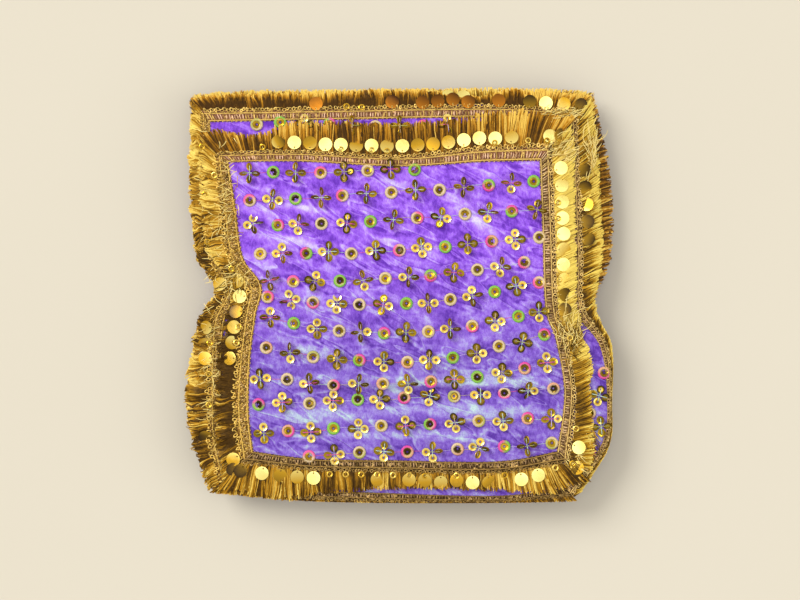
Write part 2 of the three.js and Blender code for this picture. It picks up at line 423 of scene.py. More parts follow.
def finished(bm: bmesh.types.BMesh, material: int = 0, smooth: bool = True) -> bpy.types.Mesh:
    """Turn a bmesh into a small mesh to be repeated.

    Args:
        bm: The shape, which is freed.
        material: The place of its material on the piece.
        smooth: Whether its faces are shaded smooth.

    Returns:
        The mesh.
    """
    bmesh.ops.recalc_face_normals(bm, faces=bm.faces[:])
    for face in bm.faces:
        face.material_index = material
        face.smooth = smooth
    mesh = bpy.data.meshes.new("small_shape")
    bm.to_mesh(mesh)
    bm.free()
    return mesh


@dataclass(frozen=True)
class Bar:
    """A thin closed bar along +Y, such as a strand, a stitch or a rung.

    The cuts are those along it, the taper is its far end's size for a near end of 1, and
    the arch is how far its middle is lifted.
    """

    length: float
    half_width: float
    half_height: float
    sides: int = 4
    cuts: int = 2
    taper: float = 1.0
    arch: float = 0.0
    smooth: bool = True

    def mesh(self, material: int = 0) -> bpy.types.Mesh:
        """Build the bar.

        Args:
            material: The place of its material on the piece.

        Returns:
            The mesh.
        """
        bm = bmesh.new()
        turned = Matrix.Rotation(-math.pi / 2, 4, "X")
        centre = Matrix.Translation((0, self.length / 2, 0))
        bmesh.ops.create_cone(
            bm, cap_ends=True, segments=self.sides, radius1=1, radius2=self.taper,
            depth=self.length, matrix=centre @ turned,
        )
        long_edges = [
            edge
            for edge in bm.edges
            if abs(edge.verts[0].co.y - edge.verts[1].co.y) > self.length / 2
        ]
        if self.cuts:
            bmesh.ops.subdivide_edges(bm, edges=long_edges, cuts=self.cuts)
        bmesh.ops.scale(bm, vec=(self.half_width, 1, self.half_height), verts=bm.verts[:])
        for vert in bm.verts:
            share = vert.co.y / self.length
            vert.co.z += self.arch * (1 - (2 * share - 1) ** 2)
        return finished(bm, material, self.smooth)


@dataclass(frozen=True)
class Coil:
    """A closed ring of round stuff, such as a gimp loop or a worked thread ring.

    The height is how tall its section is for a width of 1, the stretch how long it is
    along Y for a width of 1, and the wraps how much it swells and thins by turns.
    """

    radius: float
    thickness: float
    height: float
    steps: int
    sides: int
    stretch: float = 1.0
    wraps: float = 0.0

    def mesh(self, material: int = 0) -> bpy.types.Mesh:
        """Build the ring by spinning its section once round.

        Args:
            material: The place of its material on the piece.

        Returns:
            The mesh.
        """
        bm = bmesh.new()
        upright = Matrix.Rotation(math.pi / 2, 4, "X")
        section = bmesh.ops.create_circle(
            bm, segments=self.sides, radius=self.thickness,
            matrix=Matrix.Translation((self.radius, 0, 0)) @ upright,
        )
        bmesh.ops.scale(bm, vec=(1, 1, self.height), verts=section["verts"])
        bmesh.ops.spin(
            bm, geom=bm.verts[:] + bm.edges[:], cent=(0, 0, 0), axis=(0, 0, 1), angle=2 * math.pi,
            steps=self.steps, use_merge=True,
        )
        bmesh.ops.remove_doubles(bm, verts=bm.verts[:], dist=1e-4)
        for vert in bm.verts:
            step = round(math.atan2(vert.co.y, vert.co.x) / (2 * math.pi) * self.steps)
            swell = 1 + self.wraps * (1 if step % 2 else -1)
            middle = Vector((vert.co.x, vert.co.y, 0)).normalized() * self.radius
            vert.co = middle + (vert.co - middle) * swell
        bmesh.ops.scale(bm, vec=(1, self.stretch, 1), verts=bm.verts[:])
        return finished(bm, material)


@dataclass(frozen=True)
class Sequin:
    """A thin disc with a hole, flat or dished, made of rings from its rim to its hole.

    A ring is (radius, height, shift towards -Y).
    """

    rings: tuple[tuple[float, float, float], ...]
    segments: int
    thickness: float

    def mesh(self, material: int = 0) -> bpy.types.Mesh:
        """Build the sequin by bridging its rings.

        Args:
            material: The place of its material on the piece.

        Returns:
            The mesh.
        """
        bm = bmesh.new()
        loops = []
        for radius, height, shift in self.rings:
            place = Matrix.Translation((0, -shift, height))
            made = bmesh.ops.create_circle(
                bm, segments=self.segments, radius=radius, matrix=place
            )
            edges = {edge for vert in made["verts"] for edge in vert.link_edges}
            loops.append(list(edges))
        for outer, inner in zip(loops, loops[1:]):
            bmesh.ops.bridge_loops(bm, edges=outer + inner)
        bmesh.ops.recalc_face_normals(bm, faces=bm.faces[:])
        bmesh.ops.solidify(bm, geom=bm.faces[:], thickness=self.thickness)
        return finished(bm, material, smooth=False)


class Gathering:
    """Placed copies of small meshes joined as one mesh, each with its own tone or tint."""

    def __init__(self) -> None:
        """Start with nothing in it."""
        self.bm = bmesh.new()
        self.tones: list[np.ndarray] = []
        self.tints: list[np.ndarray] = []

    def add(
        self, small: bpy.types.Mesh, place: Matrix, tone: float | np.ndarray = 0.5,
        tint: Colour | np.ndarray = WHITE,
    ) -> None:
        """Add one copy.

        Args:
            small: The mesh to copy.
            place: Where it goes.
            tone: From 0, dark, to 1, bright, for the copy or for each of its points.
            tint: One colour, or one for each point of the small mesh.
        """
        copy = small.copy()
        copy.transform(place)
        self.bm.from_mesh(copy, face_normals=False, vertex_normals=False)
        count = len(copy.vertices)
        bpy.data.meshes.remove(copy)
        self.tones.append(np.broadcast_to(np.asarray(tone, float), (count,)))
        self.tints.append(np.broadcast_to(np.asarray(tint, float), (count, 3)))

    def mesh(self, name: str) -> bpy.types.Mesh:
        """Join the copies.

        Args:
            name: The mesh's name.

        Returns:
            The mesh, with a "tone" and a "tint" on its points.
        """
        mesh = bpy.data.meshes.new(name)
        self.bm.to_mesh(mesh)
        self.bm.free()
        set_tones(mesh, np.concatenate(self.tones))
        set_tints(mesh, np.concatenate(self.tints))
        return mesh


def read_tones(mesh: bpy.types.Mesh) -> np.ndarray:
    """Read a mesh's tones.

    Args:
        mesh: The mesh.

    Returns:
        The tone of each point.
    """
    tones = np.zeros(len(mesh.vertices), dtype=np.float32)
    mesh.attributes["tone"].data.foreach_get("value", tones)
    return tones


def set_tones(mesh: bpy.types.Mesh, tones: np.ndarray, name: str = "tone") -> None:
    """Give each point of a mesh its tone, or another value by name, in place of any it has."""
    layer = mesh.attributes.get(name) or mesh.attributes.new(name, "FLOAT", "POINT")
    layer.data.foreach_set("value", np.ascontiguousarray(tones, dtype=np.float32))


def set_tints(mesh: bpy.types.Mesh, tints: np.ndarray | Colour) -> None:
    """Give each point of a mesh its tint, in place of any it has.

    Args:
        mesh: The mesh.
        tints: One colour for all, or one for each point.
    """
    count = len(mesh.vertices)
    colours = np.ones((count, 4))
    colours[:, :3] = np.broadcast_to(np.asarray(tints, float), (count, 3))
    layer = mesh.attributes.get("tint") or mesh.attributes.new("tint", "FLOAT_COLOR", "POINT")
    layer.data.foreach_set("color", colours.ravel())


def joined(name: str, meshes: list[bpy.types.Mesh]) -> bpy.types.Mesh:
    """Join meshes that are already in place, with their tones.

    Args:
        name: The new mesh's name.
        meshes: The meshes, which are removed.

    Returns:
        The joined mesh.
    """
    bm = bmesh.new()
    for mesh in meshes:
        bm.from_mesh(mesh)
        bpy.data.meshes.remove(mesh)
    whole = bpy.data.meshes.new(name)
    bm.to_mesh(whole)
    bm.free()
    return whole


def standing(centre: Vector, outward: Vector, normal: Vector) -> Matrix:
    """Work out the place of a shape that lies on a surface.

    Args:
        centre: Where its middle goes.
        outward: Where its +Y points.
        normal: Where its +Z points.

    Returns:
        The place.
    """
    up = normal.normalized()
    across = outward.cross(up).normalized()
    forward = up.cross(across)
    turned = Matrix((across, forward, up)).transposed().to_4x4()
    return Matrix.Translation(centre) @ turned


def tilted(pitch: float, roll: float) -> Matrix:
    """Return a turn about X times a turn about Y, in degrees."""
    first = Matrix.Rotation(math.radians(pitch), 4, "X")
    return first @ Matrix.Rotation(math.radians(roll), 4, "Y")


def flat_strip(length: float, cell: float, rows: int) -> bmesh.types.BMesh:
    """Start a flat strip along +X, one unit wide.

    Args:
        length: Its length.
        cell: About how long one of its faces is.
        rows: How many faces it is wide.

    Returns:
        The shape.
    """
    bm = bmesh.new()
    beside = Matrix.Translation((0.5, 0.5, 0))
    count = int(length / cell)
    bmesh.ops.create_grid(bm, x_segments=count, y_segments=rows, size=0.5, matrix=beside)
    bmesh.ops.scale(bm, vec=(length, 1, 1), verts=bm.verts[:])
    return bm


def grow(
    bm: bmesh.types.BMesh, edges: list[bmesh.types.BMEdge]
) -> tuple[list[bmesh.types.BMEdge], list[bmesh.types.BMVert]]:
    """Extrude edges.

    Args:
        bm: The shape.
        edges: The edges.

    Returns:
        The new edges and the new vertices.
    """
    grown = bmesh.ops.extrude_edge_only(bm, edges=edges)["geom"]
    kinds = (bmesh.types.BMEdge, bmesh.types.BMVert)
    new_edges, new_verts = ([item for item in grown if isinstance(item, kind)] for kind in kinds)
    return new_edges, new_verts


# ------------------------------------------------------------------ finishes


class Graph:
    """A material and its nodes, with short ways to add and join them."""

    def __init__(self, name: str) -> None:
        """Start a material with its principled shader.

        Args:
            name: The material's name.
        """
        self.material = bpy.data.materials.new(name)
        self.material.use_nodes = True
        self.tree = self.material.node_tree
        self.shader = self.tree.nodes["Principled BSDF"]

    def put(self, node: bpy.types.Node, inputs: dict) -> None:
        """Set a node's sockets.

        Args:
            node: The node.
            inputs: Socket names or numbers, each with a value or a socket to join to it.
        """
        for key, value in inputs.items():
            if isinstance(value, bpy.types.NodeSocket):
                self.tree.links.new(value, node.inputs[key])
            else:
                node.inputs[key].default_value = value

    def add(self, kind: str, inputs: dict | None = None, **settings) -> bpy.types.Node:
        """Add a node.

        Args:
            kind: The node's type, without its ShaderNode prefix.
            inputs: Its sockets, as in put().
            **settings: Its own settings.

        Returns:
            The node.
        """
        node = self.tree.nodes.new("ShaderNode" + kind)
        for key, value in settings.items():
            setattr(node, key, value)
        self.put(node, inputs or {})
        return node

    def place(self, scale: Place = (1, 1, 1), turn: float = 0.0) -> bpy.types.NodeSocket:
        """Read Object coordinates, turned about Z and then scaled.

        Args:
            scale: How much they are scaled by.
            turn: How far they are turned, in degrees.

        Returns:
            The coordinates.
        """
        where = self.add("TexCoord").outputs["Object"]
        turned = self.add(
            "Mapping", {"Vector": where, "Rotation": (0, 0, math.radians(turn))}
        )
        sized = self.add("Mapping", {"Vector": turned.outputs[0], "Scale": scale})
        return sized.outputs[0]

    def noise(self, place: bpy.types.NodeSocket, scale: float, **inputs) -> bpy.types.NodeSocket:
        """Add a noise pattern.

        Args:
            place: The coordinates it is read at.
            scale: Its scale.
            **inputs: Its other sockets, in lower case.

        Returns:
            Its value.
        """
        sockets = {"Vector": place, "Scale": scale}
        sockets.update({key.title(): value for key, value in inputs.items()})
        return self.add("TexNoise", sockets).outputs["Fac"]

    def ramp(
        self, value: bpy.types.NodeSocket, stops: tuple[tuple[float, Colour], ...]
    ) -> bpy.types.NodeSocket:
        """Turn a value into a colour.

        Args:
            value: The value, from 0 to 1.
            stops: Pairs of a place on the ramp and a colour.

        Returns:
            The colour.
        """
        node = self.add("ValToRGB", {"Fac": value})
        elements = node.color_ramp.elements
        while len(elements) < len(stops):
            elements.new(0.5)
        for element, (place, colour) in zip(elements, stops):
            element.position = place
            element.color = (*colour, 1.0)
        return node.outputs["Color"]

    def sum(
        self, kind: str, a: bpy.types.NodeSocket | float, b: bpy.types.NodeSocket | float
    ) -> bpy.types.NodeSocket:
        """Return the result of a Math node, such as ADD or MULTIPLY, kept from 0 to 1."""
        node = self.add("Math", {0: a, 1: b}, operation=kind, use_clamp=True)
        return node.outputs[0]

    def mix(
        self, factor: bpy.types.NodeSocket | float, a: bpy.types.NodeSocket | tuple,
        b: bpy.types.NodeSocket | tuple, kind: str = "MIX",
    ) -> bpy.types.NodeSocket:
        """Mix two colours.

        Args:
            factor: How much of the second.
            a: The first.
            b: The second.
            kind: How they are mixed.

        Returns:
            The mix.
        """
        node = self.add("Mix", data_type="RGBA", blend_type=kind)
        self.put(node, {0: factor, 6: a, 7: b})
        return node.outputs[2]

    def value_mix(
        self, factor: bpy.types.NodeSocket | float, a: bpy.types.NodeSocket | float,
        b: bpy.types.NodeSocket | float,
    ) -> bpy.types.NodeSocket:
        """Return a mix of two values."""
        return self.add("Mix", {0: factor, 2: a, 3: b}, data_type="FLOAT").outputs[0]

    def spread(
        self, value: bpy.types.NodeSocket, low: float, high: float
    ) -> bpy.types.NodeSocket:
        """Spread a value so that low becomes 0 and high becomes 1."""
        sockets = {"Value": value, "From Min": low, "From Max": high}
        return self.add("MapRange", sockets).outputs[0]

    def attribute(self, name: str, socket: str = "Fac") -> bpy.types.NodeSocket:
        """Return an attribute of the piece."""
        return self.add("Attribute", attribute_name=name).outputs[socket]

    def bump(self, height: bpy.types.NodeSocket, strength: float, distance: float) -> None:
        """Give the shader a bump from a height."""
        sockets = {"Height": height, "Strength": strength, "Distance": distance}
        self.put(self.shader, {"Normal": self.add("Bump", sockets).outputs[0]})


@dataclass(frozen=True)
class Velvet:
    """Crushed velvet: a deep ground, paler in random patches of its pile, with painted sheen along
    its streaks and crest lines and painted shade in its gullies, creases and grooves.

    The front multiplier is what its colours are multiplied by towards the front, making them darker
    and duller there, and speckled how much its fine speckle shows.
    """

    name: str
    deep: Colour = (0.125, 0.029, 0.43)
    ground: Colour = (0.265, 0.088, 0.70)
    lit: Colour = (0.395, 0.19, 0.82)
    pale: Colour = (0.64, 0.56, 0.88)
    front_multiplier: Colour = (0.73, 1.10, 0.72)
    speckled: float = 0.8

    def material(self) -> bpy.types.Material:
        """Build the finish.

        Returns:
            The material.
        """
        graph = Graph(self.name)
        slanting = graph.noise(graph.place((34, 125, 60), 24), 1.0, detail=3.0)
        level = graph.noise(graph.place((24, 100, 60), 2), 1.0, detail=4.0, distortion=0.8)
        where = graph.add("SeparateXYZ", {0: graph.place()})
        lower = graph.spread(where.outputs["Y"], 0.035, -0.05)
        bands = graph.spread(graph.value_mix(lower, slanting, level), 0.40, 0.72)
        patches = graph.spread(
            graph.noise(graph.place((80, 105, 80), 15), 1.0, detail=4.0, distortion=1.2), 0.40,
            0.64,
        )
        brushed = graph.spread(
            graph.noise(graph.place((1150, 330, 800), 12), 1.0, detail=3.0), 0.3, 0.7
        )
        tufts = graph.spread(
            graph.noise(graph.place((420, 240, 400), -25), 1.0, detail=3.0), 0.35, 0.68
        )
        folds = graph.noise(graph.place((26, 84, 60), 27), 1.0, detail=2.0, distortion=0.6)
        # Along the noise's crest lines the velvet is painted lighter, a painted highlight that also
        # feeds the bump, and along its gully lines darker, a painted shade.
        crest_light_and_relief = graph.spread(self._nearness(graph, folds, 0.52), 0.955, 1.0)
        gully_painted_shade = graph.spread(self._nearness(graph, folds, 0.555), 0.945, 1.0)
        pile = graph.noise(graph.place(), 1700.0, detail=2.0)
        light = graph.sum("MULTIPLY", bands, 0.30)
        for part, weight in ((patches, 0.24), (brushed, 0.14), (tufts, 0.2), (crest_light_and_relief, 0.30)):
            light = graph.sum("ADD", light, graph.sum("MULTIPLY", part, weight))
        light = graph.sum("SUBTRACT", light, graph.sum("MULTIPLY", gully_painted_shade, 0.16))
        # Painted sheen and shade from the cloth's streaks, creases and grooves, with the pile's
        # random patches, lighten or darken the ramp.
        pile_and_painted_light_part = graph.sum("MULTIPLY", graph.attribute("crush"), 0.6)
        light = graph.sum("ADD", light, pile_and_painted_light_part)
        colour = graph.ramp(
            light,
            ((0.12, self.deep), (0.36, self.ground), (0.58, self.lit), (1.0, self.pale)),
        )
        # Towards the front the colours are multiplied darker and duller.
        front_colour = graph.mix(1.0, colour, (*self.front_multiplier, 1.0), "MULTIPLY")
        colour = graph.mix(lower, colour, front_colour)
        speckle = graph.ramp(pile, ((0.35, (0.74, 0.74, 0.74)), (0.65, (1.0, 1.0, 1.0))))
        colour = graph.mix(self.speckled, colour, speckle, "MULTIPLY")
        graph.put(
            graph.shader,
            {
                "Base Color": colour, "Roughness": 0.82, "Specular IOR Level": 0.15,
                "Sheen Weight": 0.35, "Sheen Roughness": 0.35, "Sheen Tint": (0.72, 0.62, 1.0, 1.0),
            },
        )
        relief = graph.value_mix(0.5, graph.value_mix(0.5, pile, brushed), crest_light_and_relief)
        graph.bump(relief, 0.7, 0.0009)
        return graph.material

    @staticmethod
    def _nearness(
        graph: Graph, value: bpy.types.NodeSocket, level: float
    ) -> bpy.types.NodeSocket:
        """Find where a value is near a level.

        Args:
            graph: The material's graph.
            value: The value.
            level: The level.

        Returns:
            1 at the level, and less the further the value is from it.
        """
        apart = graph.add("Math", {0: value, 1: level}, operation="SUBTRACT").outputs[0]
        size = graph.add("Math", {0: apart}, operation="ABSOLUTE").outputs[0]
        return graph.sum("SUBTRACT", 1.0, size)


GILT_SHINE = (1.0, 0.78, 0.42, 1.0)


@dataclass(frozen=True)
class Gilt:
    """Gold metal yarn or plate, from dark bronze to pale gold by the tone of each copy.

    The metal is how metallic it is, the grain how uneven its tone is, with a finer bump
    wherever there is any, and the gloss how strongly it shines.
    """

    name: str
    dark: Colour
    middle: Colour
    bright: Colour
    metal: float
    roughness: float
    grain: float = 0.0
    gloss: float = 0.5

    def material(self) -> bpy.types.Material:
        """Build the finish.

        Returns:
            The material.
        """
        graph = Graph(self.name)
        tone = graph.attribute("tone")
        glints = graph.noise(graph.place(), 420.0, detail=3.0)
        shift = graph.sum("MULTIPLY", glints, 0.5 * self.grain)
        uneven = graph.sum("ADD", tone, shift)
        uneven = graph.sum("SUBTRACT", uneven, 0.25 * self.grain)
        colour = graph.ramp(
            uneven, ((0.0, self.dark), (0.5, self.middle), (1.0, self.bright))
        )
        colour = graph.mix(1.0, colour, graph.attribute("tint", "Color"), "MULTIPLY")
        graph.put(
            graph.shader,
            {
                "Base Color": colour, "Metallic": self.metal, "Roughness": self.roughness,
                "Specular IOR Level": self.gloss, "Specular Tint": GILT_SHINE,
            },
        )
        scale, strength, depth = (1400.0, 0.35, 0.0003) if self.grain else (130.0, 0.25, 0.0006)
        graph.bump(graph.noise(graph.place(), scale), strength, depth)
        return graph.material


@dataclass(frozen=True)
class Thread:
    """Embroidery thread, in the tint of each copy, with a fine twist."""

    name: str
    roughness: float = 0.5

    def material(self) -> bpy.types.Material:
        """Build the finish.

        Returns:
            The material.
        """
        graph = Graph(self.name)
        tint = graph.attribute("tint", "Color")
        twist = graph.add(
            "TexWave", {"Vector": graph.place(turn=35), "Scale": 900.0, "Distortion": 2.0},
        ).outputs["Fac"]
        shade = graph.ramp(twist, ((0.0, (0.62, 0.62, 0.62)), (0.7, (1.0, 1.0, 1.0))))
        graph.put(
            graph.shader,
            {
                "Base Color": graph.mix(0.7, tint, shade, "MULTIPLY"), "Roughness": self.roughness,
                "Sheen Weight": 0.25,
            },
        )
        graph.bump(twist, 0.4, 0.0002)
        return graph.material


@dataclass(frozen=True)
class Ribbon:
    """The braid's woven ground, in the tint of its side, with gilt threads in it."""

    name: str
    gilt: Colour = (0.90, 0.58, 0.20)

    def material(self) -> bpy.types.Material:
        """Build the finish.

        Returns:
            The material.
        """
        graph = Graph(self.name)
        weave = graph.add(
            "TexVoronoi", {"Vector": graph.place(), "Scale": 1100.0}
        ).outputs["Distance"]
        specks = graph.noise(graph.place(), 620.0, detail=2.0)
        cloudy = graph.noise(graph.place(), 150.0, detail=3.0)
        base = graph.attribute("tint", "Color")
        threads = graph.ramp(weave, ((0.1, (1.0, 1.0, 1.0)), (0.7, (0.3, 0.26, 0.22))))
        colour = graph.mix(0.85, base, threads, "MULTIPLY")
        specks, cloudy = graph.spread(specks, 0.5, 0.68), graph.spread(cloudy, 0.3, 0.6)
        lit = graph.sum("MULTIPLY", specks, cloudy)
        colour = graph.mix(graph.sum("MULTIPLY", lit, 0.8), colour, (*self.gilt, 1.0))
        graph.put(
            graph.shader,
            {
                "Base Color": colour, "Metallic": 0.1, "Roughness": 0.5, "Specular IOR Level": 0.2,
                "Specular Tint": GILT_SHINE,
            },
        )
        graph.bump(weave, 0.6, 0.0003)
        return graph.material


@dataclass(frozen=True)
class Finishes:
    """The materials of the packet."""

    velvet: bpy.types.Material
    ribbon: bpy.types.Material
    tinsel: bpy.types.Material
    cord: bpy.types.Material
    sequin: bpy.types.Material
    thread: bpy.types.Material


def make_finishes() -> Finishes:
    """Make every material of the packet.

    Returns:
        The materials.
    """
    return Finishes(
        velvet=Velvet("crushed_velvet").material(), ribbon=Ribbon("braid_ground").material(),
        tinsel=Gilt(
            "tinsel_yarn", dark=(0.042, 0.018, 0.001), middle=(0.41, 0.215, 0.014),
            bright=(0.84, 0.69, 0.25), metal=0.08, roughness=0.4, grain=0.5, gloss=0.25,
        ).material(),
        cord=Gilt(
            "gilt_cord", dark=(0.08, 0.06, 0.04), middle=(0.60, 0.55, 0.46),
            bright=(1.0, 0.98, 0.94), metal=0.25, roughness=0.35, grain=0.6, gloss=0.3,
        ).material(),
        sequin=Gilt(
            "gold_sequin", dark=(0.032, 0.018, 0.008), middle=(0.58, 0.32, 0.020),
            bright=(0.96, 0.82, 0.26), metal=0.8, roughness=0.22,
        ).material(),
        thread=Thread("embroidery_thread").material(),
    )


# ------------------------------------------------------------------ pieces


def piece(
    name: str,
    mesh: bpy.types.Mesh,
    materials: list[bpy.types.Material],
    nodes: tuple[str, ...] = (),
) -> bpy.types.Object:
    """Make an object of a mesh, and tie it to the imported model.

    Args:
        name: The piece's name.
        mesh: Its mesh, already in place.
        materials: Its materials, in order.
        nodes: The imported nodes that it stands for.

    Returns:
        The object.
    """
    made = bpy.data.objects.new(name, mesh)
    bpy.context.scene.collection.objects.link(made)
    for material in materials:
        mesh.materials.append(material)
    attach(made, "root")
    if nodes:
        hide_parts(*nodes)
    LOG.info("%s: %d points, %d faces", name, len(mesh.vertices), len(mesh.polygons))
    return made


@dataclass
class HiddenLayers:
    """The folded edges below the stretches, one rounded solid layered at its edges.

    The fold is one's height. The bulge, the groove and the heel are how far inside the
    lowest rim its belly, the groove between two and the first and last outlines lie. Sway
    is how much the bellies wander in and out, tuck how much every outline does, finely,
    and waver how far they go up and down. The steps are the shares of a fold's height
    where it has an outline, the stations one side's points, the rounding how often they
    are smoothed, and the closing the shares at which the top and the sole draw in.
    """

    under: Stretch
    finishes: Finishes
    folds: int = 6
    fold: float = 3.1
    bulge: float = 0.8
    groove: float = 5.4
    heel: float = 6.4
    sway: float = 2.1
    tuck: float = 0.5
    waver: float = 0.55
    stations: int = 88
    rounding: int = 16
    steps: tuple[float, ...] = (0.0, 0.08, 0.22, 0.42, 0.62, 0.8, 0.93)
    closing: tuple[float, ...] = (0.8, 0.5, 0.2)

    def _ring(self, height: float, inset: np.ndarray | float) -> np.ndarray:
        """Draw the outline of the folds at one height.

        Args:
            height: Its height.
            inset: How far inside the lowest rim it lies, all round or at each point.

        Returns:
            Its points, one row each.
        """
        t = np.linspace(0, 1, self.stations, endpoint=False)
        parts = []
        for side in Side:
            x, y = self.under.walk(side, t, np.ones(self.stations))
            parts.append(np.stack((x, y), axis=1))
        outline = np.concatenate(parts)
        for _ in range(self.rounding):
            before, after = np.roll(outline, 1, axis=0), np.roll(outline, -1, axis=0)
            outline = (before + 2 * outline + after) / 4
        ahead = np.roll(outline, -1, axis=0) - np.roll(outline, 1, axis=0)
        ahead /= np.linalg.norm(ahead, axis=1)[:, None]
        inward = np.stack((-ahead[:, 1], ahead[:, 0]), axis=1)
        moved = outline + inward * np.reshape(inset, (-1, 1))
        level = np.full(len(moved), height) if np.isscalar(height) else height
        return np.column_stack((moved, level))

    def rings(self) -> list[np.ndarray]:
        """Draw the outlines of the folds.

        Returns:
            The outlines, from the table upwards.
        """
        count = 4 * self.stations
        turn = np.linspace(0, 2 * math.pi, count, endpoint=False)
        x, y = 90 * np.cos(turn), 90 * np.sin(turn)
        rings = [self._ring(0.0, self.heel)]
        for fold in range(self.folds):
            sway = self.sway * (1 + ripple(x, y, 34, 11.0 + fold)) - 0.4
            tucks = self.tuck * ripple(x, y, 6, 31.0 + fold)
            waver = self.waver * ripple(x, y, 24, 51.0 + fold)
            waver_up = self.waver * ripple(x, y, 24, 52.0 + fold)
            for step in self.steps:
                if fold == 0 and step == 0.0:
                    continue
                height = (fold + step) * self.fold
                round_off = 3.0 * (2 * height / STACK - 1) ** 2
                full = math.sin(math.pi * step) ** 0.55 if 0 < step < 1 else 0.0
                inset = self.groove - (self.groove - self.bulge) * full
                drift = waver * (1 - step) * (fold > 0) + waver_up * step
                ring = self._ring(height, inset + round_off + sway * full + tucks)
                ring[:, 2] += drift
                rings.append(ring)
        rings.append(self._ring(STACK, self.heel))
        return rings

    def build(self) -> bpy.types.Object:
        """Build the solid, ring by ring, and dress it.

        Returns:
            The piece.
        """
        rings = self.rings()
        bm = bmesh.new()
        station = bm.verts.layers.int.new("station")
        bmesh.ops.create_circle(bm, segments=len(rings[0]), radius=100)
        for index, vert in enumerate(bm.verts):
            vert[station] = index
            vert.co = rings[0][index]
        sole = edges = bm.edges[:]
        for ring in rings[1:]:
            edges, verts = grow(bm, edges)
            for vert in verts:
                vert.co = ring[vert[station]]
        for rim in (sole, edges):
            edge_ring = rim
            for share in self.closing:
                edge_ring, verts = grow(bm, edge_ring)
                source = rings[0] if rim is sole else rings[-1]
                for vert in verts:
                    x, y, _ = source[vert[station]] * share
                    across, along = 1 - (x / CROWN_HALF[0]) ** 2, 1 - (y / CROWN_HALF[1]) ** 2
                    crown = CROWN_RISE * across * along
                    vert.co = (x, y, 0 if rim is sole else STACK - 0.3 + crown)
            centre = {vert for edge in edge_ring for vert in edge.verts}
            top = max(vert.co.z for vert in centre)
            bmesh.ops.pointmerge(bm, verts=list(centre), merge_co=(0, 0, top))
        bmesh.ops.scale(bm, vec=(MM, MM, MM), verts=bm.verts[:])
        mesh = finished(bm)
        points = read_points(mesh) / MM
        # Random paler patches of the pile, and painted shade along each groove between two folds.
        crush = 0.4 * np.clip(ripple(points[:, 0], points[:, 1], 9, 77.0), 0, 1)
        near = np.abs((points[:, 2] / self.fold + 0.5) % 1 - 0.5)
        crush -= 0.6 * np.exp(-((near / 0.16) ** 2))
        set_tones(mesh, crush, "crush")
        mesh.attributes.remove(mesh.attributes["station"])
        mesh.name = "hidden_cloth"
        return piece(
            "hidden_cloth", mesh, [self.finishes.velvet], ("hidden_layers",)
        )


@dataclass
class Cloth:
    """One stretch of velvet, as a thin shell with its creases."""

    stretch: Stretch
    finishes: Finishes
    wall: float = 1.2

    def build(self) -> bpy.types.Object:
        """Build the shell and dress it.

        Returns:
            The piece.
        """
        name = f"{self.stretch.name}_cloth"
        bm = bmesh.new()
        cells = self.stretch.cells
        bmesh.ops.create_grid(bm, x_segments=cells, y_segments=cells, size=0.5)
        mesh = finished(bm)
        flat = read_points(mesh)
        u, v = np.clip(flat[:, 0] + 0.5, 0, 1), np.clip(flat[:, 1] + 0.5, 0, 1)
        x, y, z = self.stretch.sheet_points(u, v)
        crush = np.zeros(len(x))
        # Pale streaks are painted sheen and deep ones painted shade, laid along the crushed pile's
        # streaks.
        for streak in self.stretch.crushed:
            crush = crush + streak.height(x, y)
        crush = crush * (0.7 + 0.6 * ripple(x, y, 7, 5.5))
        # Painted light on each crease's ridge and painted shade in its trough.
        for crease in self.stretch.creases:
            crush = crush + 0.10 * crease.height(x, y)
        set_tones(mesh, np.clip(crush, -0.5, 1), "crush")
        write_points(mesh, np.stack((x, y, z), axis=1) * MM)
        mesh.name = name
        made = piece(
            name, mesh, [self.finishes.velvet],
            (f"{self.stretch.name}_velvet",),
        )
        shell = made.modifiers.new("wall", "SOLIDIFY")
        shell.thickness = self.wall * MM
        shell.offset = -1
        return made


class Weave(Enum):
    """A trim's colouring: its ground, its rungs or knots, its cords and loops, and its tinsel. Each
    side of the one braid has its own, partly its own colour and partly painted light and shade,
    lighter or darker as light falls on that side.
    """

    DUSKY = ((0.27, 0.11, 0.06), (1.0, 0.66, 0.46), (1.0, 0.70, 0.20), (0.98, 0.78, 0.38))
    GOLDEN = ((0.34, 0.17, 0.03), (1.0, 0.72, 0.30), (1.0, 0.68, 0.16), (1.0, 0.90, 0.52))
    ANTIQUE = ((0.16, 0.08, 0.03), (1.0, 0.70, 0.42), (0.92, 0.66, 0.24), (1.0, 0.94, 0.50))
    BRONZE = ((0.065, 0.033, 0.010), (0.55, 0.35, 0.19), (0.50, 0.32, 0.10), (1.0, 0.89, 0.5))

    @property
    def ground(self) -> Colour:
        """Return the ribbon's colour."""
        return self.value[0]

    @property
    def rung(self) -> Colour:
        """Return the colour of the rungs and knots."""
        return self.value[1]

    @property
    def cord(self) -> Colour:
        """Return the colour of the cords and loops."""
        return self.value[2]

    @property
    def tinsel(self) -> Colour:
        """Return the tint of the tinsel."""
        return self.value[3]


@dataclass(frozen=True)
class Patch:
    """A part of a side where its tinsel differs, fading out on both sides of its middle.

    Its middle and half width are shares of the side, and its reach is added to 1. Its tone is
    painted shade over that part where it is below 0, and painted light where it is above.
    """

    middle: float
    half: float
    tone: float = 0.0
    reach: float = 0.0

    def weight(self, t: np.ndarray) -> np.ndarray:
        """Return how much of the patch is felt at shares of the side."""
        return np.exp(-(((t - self.middle) / self.half) ** 4))


